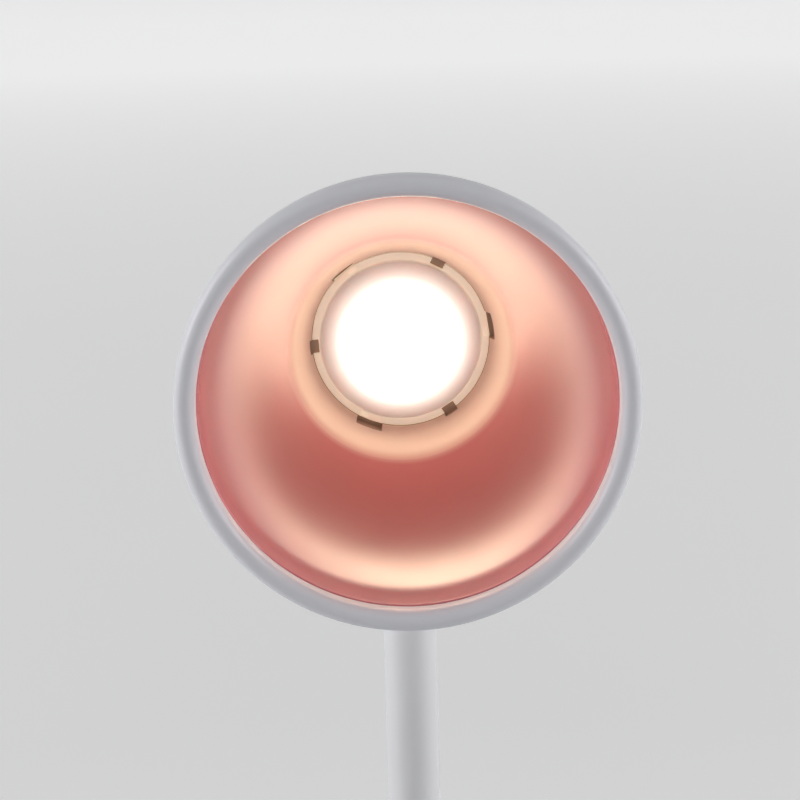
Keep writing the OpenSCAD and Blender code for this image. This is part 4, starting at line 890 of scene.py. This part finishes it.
class LAMP_OT_head_shell(bpy.types.Operator):
    """White head shell: a smooth oval of even wall, with the hinge block that flows out of it"""
    bl_idname = "bedside_lamp.head_shell"
    bl_label = "Head shell"

    def execute(self, context):
        shape, colours = context.scene.lamp_shape, context.scene.lamp_colours
        start, seat = shape.ring_depth, shape.shell_front - 2.1 * MM
        bead, seat_end = start + BEAD_AT, start + 5.6 * MM
        outer = oval_run(shape, start + 0.35 * MM, 0, 110)
        inner = oval_run(shape, seat_end, shape.shell_wall, 80)[::-1]
        front = eased([inner[-1], [seat, seat_end], [seat, bead + 0.6 * MM], [seat + BEAD_HIGH, bead],
                       [seat, bead - 0.6 * MM], [seat, start], [shape.shell_front, start], outer[0]],
                      [0, 0.1, 0.1, 0.1, 0.1, 0.2, 0.3, 0])
        outline = np.concatenate([outer, inner, front])
        shell = put_mesh("shell_oval", [turned(outline, 256, "head")], looped=True)
        block = put_mesh("shell_block", [hinge_block(shape)])
        # The tongue's slot, the recesses for the screw's head and the cap, the nut's six sides, and the bore
        arch = circle_part((0, 0), 9.4, 0, 180, 41)
        slot = MM * np.concatenate([[[20, -20], [20, 0]], arch, [[-20, 0], [-20, -20]]])
        slot_half, past = 4.05 * MM, 14 * MM
        cuts = [axle_prism(slot[:, 0], slot[:, 1], -slot_half, slot_half)]
        for side, radius, floor, corners in ((1, 4.2, 5.7, 64), (-1, 4.2, 8.8, 64), (-1, 4.17, 5.5, 6)):
            cuts.append(axle_prism(*circle(radius * MM, corners), side * floor * MM, side * past))
        cuts.append(axle_prism(*circle(2.05 * MM, 48), -past, past))
        lead_x, lead_y = circle(2.3 * MM, 48)
        channel = upright_prism(lead_x, 4.55 * MM + lead_y, HINGE_Z, HINGE_Z + 30 * MM)
        cut(block, cuts + [channel])
        cut(shell, [channel])
        # Posts for the heat sink, whose far ends follow the middle of the oval's wall
        post_r, post_start, post_at, half_wall = 2.2 * MM, 87 * MM, 26.2 * MM, shape.shell_wall / 2
        line = eased([[0, post_start], [post_r, post_start], [post_r, 95.2 * MM], [0, 95.2 * MM]],
                     [0, 0.3, 0, 0], 5)
        posts = []
        for deg in (30, 150, 270):
            grid = turned(line, 32, "head") + post_at * spoke(-deg)[0]
            share = np.hypot(grid[..., 0], grid[..., 2] - AXIS_Z) / (inner[:, 0].max() + half_wall)
            end = MOUTH_Y + (HEAD_LEN + shape.oval_lead - half_wall) * np.sqrt(1 - share**2) - shape.oval_lead
            grid[..., 1] = np.where(grid[..., 1] > MOUTH_Y + 94 * MM, end, grid[..., 1])
            posts.append(grid)
        piece = joined("shell_moulding", [shell, block, put_mesh("posts", posts)])
        white = moulded_white("white_shell_plastic", colours.shell)
        place_piece(piece, white, "head", "white_shell", "head_shell")
        return {"FINISHED"}


class LAMP_OT_light_engine(bpy.types.Operator):
    """Light chip, its board and pad, the finned heat sink and their screws, behind the diffuser"""
    bl_idname = "bedside_lamp.light_engine"
    bl_label = "Light engine"

    def execute(self, context):
        dress(lit_chip("phosphor_chip", (0.85, 0.86, 0.84), (0.93, 0.72, 0.12)), "led_chip")
        dress(white_board("white_mask_board", (0.82, 0.83, 0.81), (0.76, 0.77, 0.75)), "led_board")
        pad = silicone_pad("thermal_pad_silicone", (0.28, 0.38, 0.50), (0.26, 0.35, 0.47), (0.33, 0.43, 0.55))
        dress(pad, "thermal_pad")
        dress(bright_metal("extruded_aluminium", (0.72, 0.73, 0.74), 0.36, 0.5 * MM), "heat_sink")
        screws = bright_metal("plated_screws", (0.62, 0.62, 0.64), 0.28, 0.3 * MM)
        dress(screws, "heat_sink_screws", "led_board_screws")
        return {"FINISHED"}


# Hinge and neck

class LAMP_OT_hinge(bpy.types.Operator):
    """Tilt hinge: domed caps, screw, nut and washers, the neck with its spindle, clip and friction ring"""
    bl_idname = "bedside_lamp.hinge"
    bl_label = "Hinge and neck"

    def execute(self, context):
        colours = context.scene.lamp_colours
        low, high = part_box("hinge_caps")
        radius, outside, thick, dip = (high.z - low.z) / 2, high.x, 1.2 * MM, 0.12 * MM
        t = ramp(0, 1, 14)
        dome = np.stack([t * (radius - 0.5 * MM), outside - dip * (1 - t**2)], 1)
        edge = eased([[radius, outside], [radius, outside - thick], [0, outside - thick]], [0.3, 0.15, 0])
        outline = np.concatenate([dome, edge])
        caps = put_mesh("domed_caps", [turned(outline, 72, side) for side in ("right", "left")])
        white = moulded_white("white_cap_plastic", colours.shell, 0.36)
        place_piece(caps, white, "head", "white_shell", "hinge_caps")
        dress(moulded_white("white_neck_plastic", colours.shell, 0.36), "swivel_neck")
        steel = bright_metal("turned_steel", (0.60, 0.60, 0.62), 0.3, 0.35 * MM, (0, math.radians(90), 0))
        dress(steel, "pivot_screw", "pivot_nut", "spring_washer")
        dress(bright_metal("spring_steel", (0.42, 0.42, 0.44), 0.34, 0.3 * MM), "retaining_clip")
        dress(dark_moulding("acetal_washers", (0.05, 0.05, 0.055)), "friction_washers", "swivel_bush")
        dress(soft_rubber("black_rubber", (0.02, 0.02, 0.02)), "friction_ring", "lead_grommet")
        return {"FINISHED"}


class LAMP_OT_stem(bpy.types.Operator):
    """Powder-coated tube with its threaded foot, washer and nut"""
    bl_idname = "bedside_lamp.stem"
    bl_label = "Stem"

    def execute(self, context):
        dress(powder_coat("white_powder_coat", context.scene.lamp_colours.stem), "stem_tube")
        zinc = bright_metal("zinc_plated_steel", (0.58, 0.59, 0.61), 0.32, 0.4 * MM)
        dress(zinc, "stem_foot", "stem_washer", "stem_nut")
        return {"FINISHED"}


# Base

def post(out, deg, radius, bore, bottom, top):
    """A screw post under the cover, at a distance and an angle from the stem: a tube whose section is a
    closed outline, let a little into the cover."""
    top, a = top + 0.5 * MM, math.radians(deg)
    outline = eased([[bore, bottom], [radius, bottom], [radius, top], [bore, top]], [0.15, 0.3, 0, 0], 4)
    return turned(outline, 40, "stem") + [out * math.cos(a), out * math.sin(a), 0]


class LAMP_OT_base(bpy.types.Operator):
    """Weighted base: the cover with its long rounded edge, the plate, the weight, the foot ring and screws"""
    bl_idname = "bedside_lamp.base"
    bl_label = "Base"

    def execute(self, context):
        shape, colours = context.scene.lamp_shape, context.scene.lamp_colours
        wall, bottom, hole = 2.5 * MM, COVER_LOW.z, 7.1 * MM
        under, edge_r = BASE_TOP - wall, shape.base_round
        hub = (BASE_R - edge_r, BASE_TOP - edge_r)
        lip = [[hole, under], [hole, BASE_TOP - 0.35 * MM], [hole + 0.1 * MM, BASE_TOP - 0.1 * MM],
               [hole + 0.35 * MM, BASE_TOP]]
        flat = np.stack([ramp(hole + 1 * MM, hub[0] - 0.5 * MM, 40), np.full(40, BASE_TOP)], 1)
        foot = [[BASE_R, bottom + 0.5 * MM], [BASE_R - 0.15 * MM, bottom + 0.15 * MM],
                [BASE_R - 0.5 * MM, bottom], [BASE_R - wall, bottom]]
        outline = np.concatenate([lip, flat, circle_part(hub, edge_r, 90, 0, 40), foot,
                                  circle_part(hub, edge_r - wall, 0, 90, 24)])
        cover = put_mesh("cover_shell", [turned(outline, 288, "stem")], looped=True)
        # Holes for the button and the light from above, and for the plug from behind
        cuts = []
        for name, radius in (("power_button", shape.button_radius + 0.2 * MM),
                             ("indicator_light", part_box("indicator_light")[1].x + 0.05 * MM)):
            x, y = circle(radius, 96)
            y_at = sum(p.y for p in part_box(name)) / 2
            cuts.append(upright_prism(x, y_at + y, under - 1 * MM, BASE_TOP + 1 * MM))
        low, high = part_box("usb_socket")
        middle, round_r = (low.z + high.z) / 2, (high.z - low.z) / 2
        tall, wide = round_r + 0.35 * MM, high.x - round_r
        ends = np.concatenate([circle_part((wide, 0), tall, -90, 90, 24),
                               circle_part((-wide, 0), tall, 90, 270, 24)])
        ring = np.stack([ends[:, 0], 0 * ends[:, 0], middle + ends[:, 1]], 1)
        cuts.append(capped(ring, [0, BASE_R - 5 * MM, 0], [0, BASE_R + 5 * MM, 0]))
        cut(cover, cuts)
        # Posts for the plate's screws, the weight's screws and the control board's
        plate_z, weight_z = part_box("base_plate")[0].z + 2.5 * MM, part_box("ballast_weight")[1].z
        posts = [post(56 * MM, deg, 3.5 * MM, 1.47 * MM, plate_z, under) for deg in (35, 145, 215, 325)]
        posts += [post(30 * MM, deg, 4 * MM, 1.47 * MM, weight_z, under) for deg in (20, 160, 200, 340)]
        board_low, board_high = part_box("control_board")
        x, y = board_high.x - 2.4 * MM, board_low.y + 2.4 * MM
        away, board_z = math.hypot(x, y), board_high.z
        posts += [post(away, math.degrees(math.atan2(y, side * x)), 2.3 * MM, 0.97 * MM, board_z, under)
                  for side in (-1, 1)]
        piece = joined("cover_moulding", [cover, put_mesh("cover_posts", posts, looped=True)])
        white = moulded_white("white_base_plastic", colours.shell)
        place_piece(piece, white, "base", "white_cover", "base_cover")
        dress(moulded_white("grey_plate_plastic", (0.55, 0.55, 0.56), 0.5), "base_plate")
        dress(cast_plate("spangled_zinc", (0.30, 0.30, 0.31)), "ballast_weight")
        dress(soft_rubber("foot_rubber", (0.025, 0.025, 0.025)), "foot_ring")
        screws = bright_metal("case_screws", (0.60, 0.60, 0.62), 0.3, 0.3 * MM)
        dress(screws, "base_screws", "ballast_screws", "board_screws")
        return {"FINISHED"}


class LAMP_OT_button(bpy.types.Operator):
    """Power button with a dished top, its plunger and switch, and the indicator light"""
    bl_idname = "bedside_lamp.button"
    bl_label = "Power button"

    def execute(self, context):
        shape, colours = context.scene.lamp_shape, context.scene.lamp_colours
        low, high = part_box("power_button")
        button_r, lip_r, nub_r, dip = shape.button_radius, high.x, 2.5 * MM, 0.45 * MM
        lip_top, lip_low = BASE_TOP - 2.6 * MM, BASE_TOP - 3.8 * MM
        t = ramp(0, 1, 24)
        dish = np.stack([t * (button_r - 1.2 * MM), high.z - dip * (1 - t**2) ** 1.5], 1)
        rest = eased([[button_r, high.z], [button_r, lip_top], [lip_r, lip_top], [lip_r, lip_low],
                      [nub_r, lip_low], [nub_r, low.z], [0, low.z]], [0.8, 0.3, 0.2, 0.2, 0.2, 0.2, 0], 8)
        grid = turned(np.concatenate([dish, rest]), 128, "stem") + [0, (low.y + high.y) / 2, 0]
        white = moulded_white("white_button_plastic", colours.shell, 0.34)
        place_piece(put_mesh("dished_button", [grid]), white, "button", "white_cover", "power_button")
        dress(dark_moulding("switch_plastic", (0.03, 0.03, 0.033)), "tact_switch", "switch_plunger")
        dress(pipe_light("clear_light_pipe", (0.80, 0.92, 0.84), (0.35, 1.0, 0.5)), "indicator_light")
        return {"FINISHED"}


class LAMP_OT_power(bpy.types.Operator):
    """Battery cell in its tray with contacts, the two boards with their chips, and the charging socket"""
    bl_idname = "bedside_lamp.power"
    bl_label = "Power"

    def execute(self, context):
        dress(shrink_wrap("green_shrink_wrap", (0.10, 0.36, 0.20)), "battery_cell")
        dress(dark_moulding("tray_plastic", (0.035, 0.035, 0.04)), "battery_tray")
        dress(bright_metal("nickel_strip", (0.66, 0.64, 0.58), 0.25, 0.3 * MM), "battery_contacts")
        boards = printed_board("green_board", (0.01, 0.13, 0.05), (0.03, 0.24, 0.09))
        dress(boards, "charge_board", "control_board")
        dress(dark_moulding("chip_resin", (0.02, 0.02, 0.022)), "board_chips")
        dress(bright_metal("drawn_socket_steel", (0.66, 0.66, 0.67), 0.24, 0.3 * MM), "usb_socket")
        return {"FINISHED"}


class LAMP_OT_leads(bpy.types.Operator):
    """Insulated leads inside the head, the neck, the stem and the base"""
    bl_idname = "bedside_lamp.leads"
    bl_label = "Leads"

    def execute(self, context):
        white = wire_skin("white_insulation", (0.72, 0.72, 0.70))
        dress(white, "head_lead", "neck_lead", "stem_lead", "link_lead")
        dress(wire_skin("red_insulation", (0.48, 0.02, 0.015)), "battery_lead")
        return {"FINISHED"}


# Stage

class LAMP_OT_stage(bpy.types.Operator):
    """Pale floor that runs up into a backdrop, soft lamps and the camera"""
    bl_idname = "bedside_lamp.stage"
    bl_label = "Stage"

    def execute(self, context):
        look, scene = context.scene.lamp_stage, context.scene
        front, back, turn, high, half_wide = -6.0, 7.0, 2.0, 7.0, 9.0
        rise = circle_part((back - turn, turn), turn, -90, 0, 16)
        run = np.concatenate([[[front, 0], [back - turn, 0]], rise, [[back, high]]])
        side = ramp(-half_wide, half_wide, 5)
        grid = np.stack([side + 0 * run[:, :1], run[:, :1] + 0 * side, run[:, 1:] + 0 * side], 2)
        floor = put_mesh("floor", [grid], around=False, sharp_deg=80)
        f = Finish("pale_floor", look.floor, 0.7)
        f.tint(f.noise(0.4), look.floor, shade(look.floor, 0.985))
        f.bump(f.noise(2 * MM), 0.02 * MM)
        paler = f.spread(f.radius((0, 0, 0), (1, 1, 1)), look.paleness, look.far_paleness, 0.6, 4.0)
        f.glow((1, 1, 1), f.sum("MULTIPLY", f.seen(), paler))
        floor.data.materials.append(f.material)
        scene.world = bpy.data.worlds.new("soft_surround")
        scene.world.use_nodes = True
        sky, nodes = scene.world.node_tree.nodes["Background"], Nodes(scene.world.node_tree)
        nodes.feed(sky.inputs["Color"], (1, 1, 1))
        nodes.feed(sky.inputs["Strength"], nodes.spread(nodes.seen(), look.sky, look.pale_sky, 0.0, 1.0))
        # Two soft lamps, one on each side and a little in front of the mouth
        aside, before, above, lamp_size = 2.4, -0.5, 1.15, 1.4
        for name, power, side in (("left_lamp", look.left, -1), ("right_lamp", look.right, 1)):
            lamp = bpy.data.lights.new(name, "AREA")
            lamp.energy, lamp.size = power, lamp_size
            holder = bpy.data.objects.new(name, lamp)
            holder.location = (side * aside, before, above)
            way = Vector((0, 0, 0.3)) - holder.location
            holder.rotation_euler = way.to_track_quat("-Z", "Y").to_euler()
            scene.collection.objects.link(holder)
        make_camera(scene)
        scene.view_settings.view_transform = "Standard"
        return {"FINISHED"}


def make_camera(scene):
    """Camera as in the photograph: it looks down a little on the head from the front, from about half a
    metre, with a long lens, and the mouth's centre stands a little right of the picture's middle and below
    it."""
    picture, focal, away, sensor = 800, 2400.0, 0.559, 36.0
    right_px, below_px = 8.8, 10.0
    lift, aside, roll = math.radians(13.78), math.radians(1.0), -math.radians(1.66)
    back = Vector((-math.sin(aside) * math.cos(lift), -math.cos(aside) * math.cos(lift), math.sin(lift)))
    right = (-back).cross(Vector((0, 0, 1))).normalized()
    up = right.cross(-back)
    turned_right = right * math.cos(roll) + up * math.sin(roll)
    turned_up = up * math.cos(roll) - right * math.sin(roll)
    aim = Vector((0, MOUTH_Y, AXIS_Z))
    aim += (turned_up * below_px - turned_right * right_px) * (away / focal)
    data = bpy.data.cameras.new("camera")
    data.sensor_width, data.lens = sensor, sensor * focal / picture
    data.clip_start, data.clip_end = 0.02, 60
    camera = bpy.data.objects.new("camera", data)
    matrix = Matrix((turned_right, turned_up, back)).transposed().to_4x4()
    matrix.translation = aim + back * away
    camera.matrix_world = matrix
    scene.collection.objects.link(camera)
    scene.camera = camera


class LAMP_PT_panel(bpy.types.Panel):
    """Lists the lamp's pieces with their sizes and colours"""
    bl_idname = "LAMP_PT_panel"
    bl_label = "Bedside lamp"
    bl_space_type = "VIEW_3D"
    bl_region_type = "UI"
    bl_category = "Bedside lamp"

    def draw(self, context):
        for group in (context.scene.lamp_shape, context.scene.lamp_colours, context.scene.lamp_stage):
            column = self.layout.column()
            for name in group.__annotations__:
                column.prop(group, name)
        for step in STEPS:
            self.layout.operator(step.bl_idname)


GROUPS = (("lamp_shape", LampShape), ("lamp_colours", LampColours), ("lamp_stage", StageLook))
STEPS = (LAMP_OT_front_ring, LAMP_OT_reflector, LAMP_OT_diffuser, LAMP_OT_head_shell, LAMP_OT_light_engine,
         LAMP_OT_hinge, LAMP_OT_stem, LAMP_OT_base, LAMP_OT_button, LAMP_OT_power, LAMP_OT_leads,
         LAMP_OT_stage)


def register():
    for name, group in GROUPS:
        bpy.utils.register_class(group)
        setattr(bpy.types.Scene, name, PointerProperty(type=group))
    for step in STEPS:
        bpy.utils.register_class(step)
    bpy.utils.register_class(LAMP_PT_panel)


def unregister():
    bpy.utils.unregister_class(LAMP_PT_panel)
    for step in reversed(STEPS):
        bpy.utils.unregister_class(step)
    for name, group in reversed(GROUPS):
        delattr(bpy.types.Scene, name)
        bpy.utils.unregister_class(group)


def main():
    register()
    for step in STEPS:
        group, name = step.bl_idname.split(".")
        getattr(getattr(bpy.ops, group), name)()


if __name__ == "__main__":
    main()
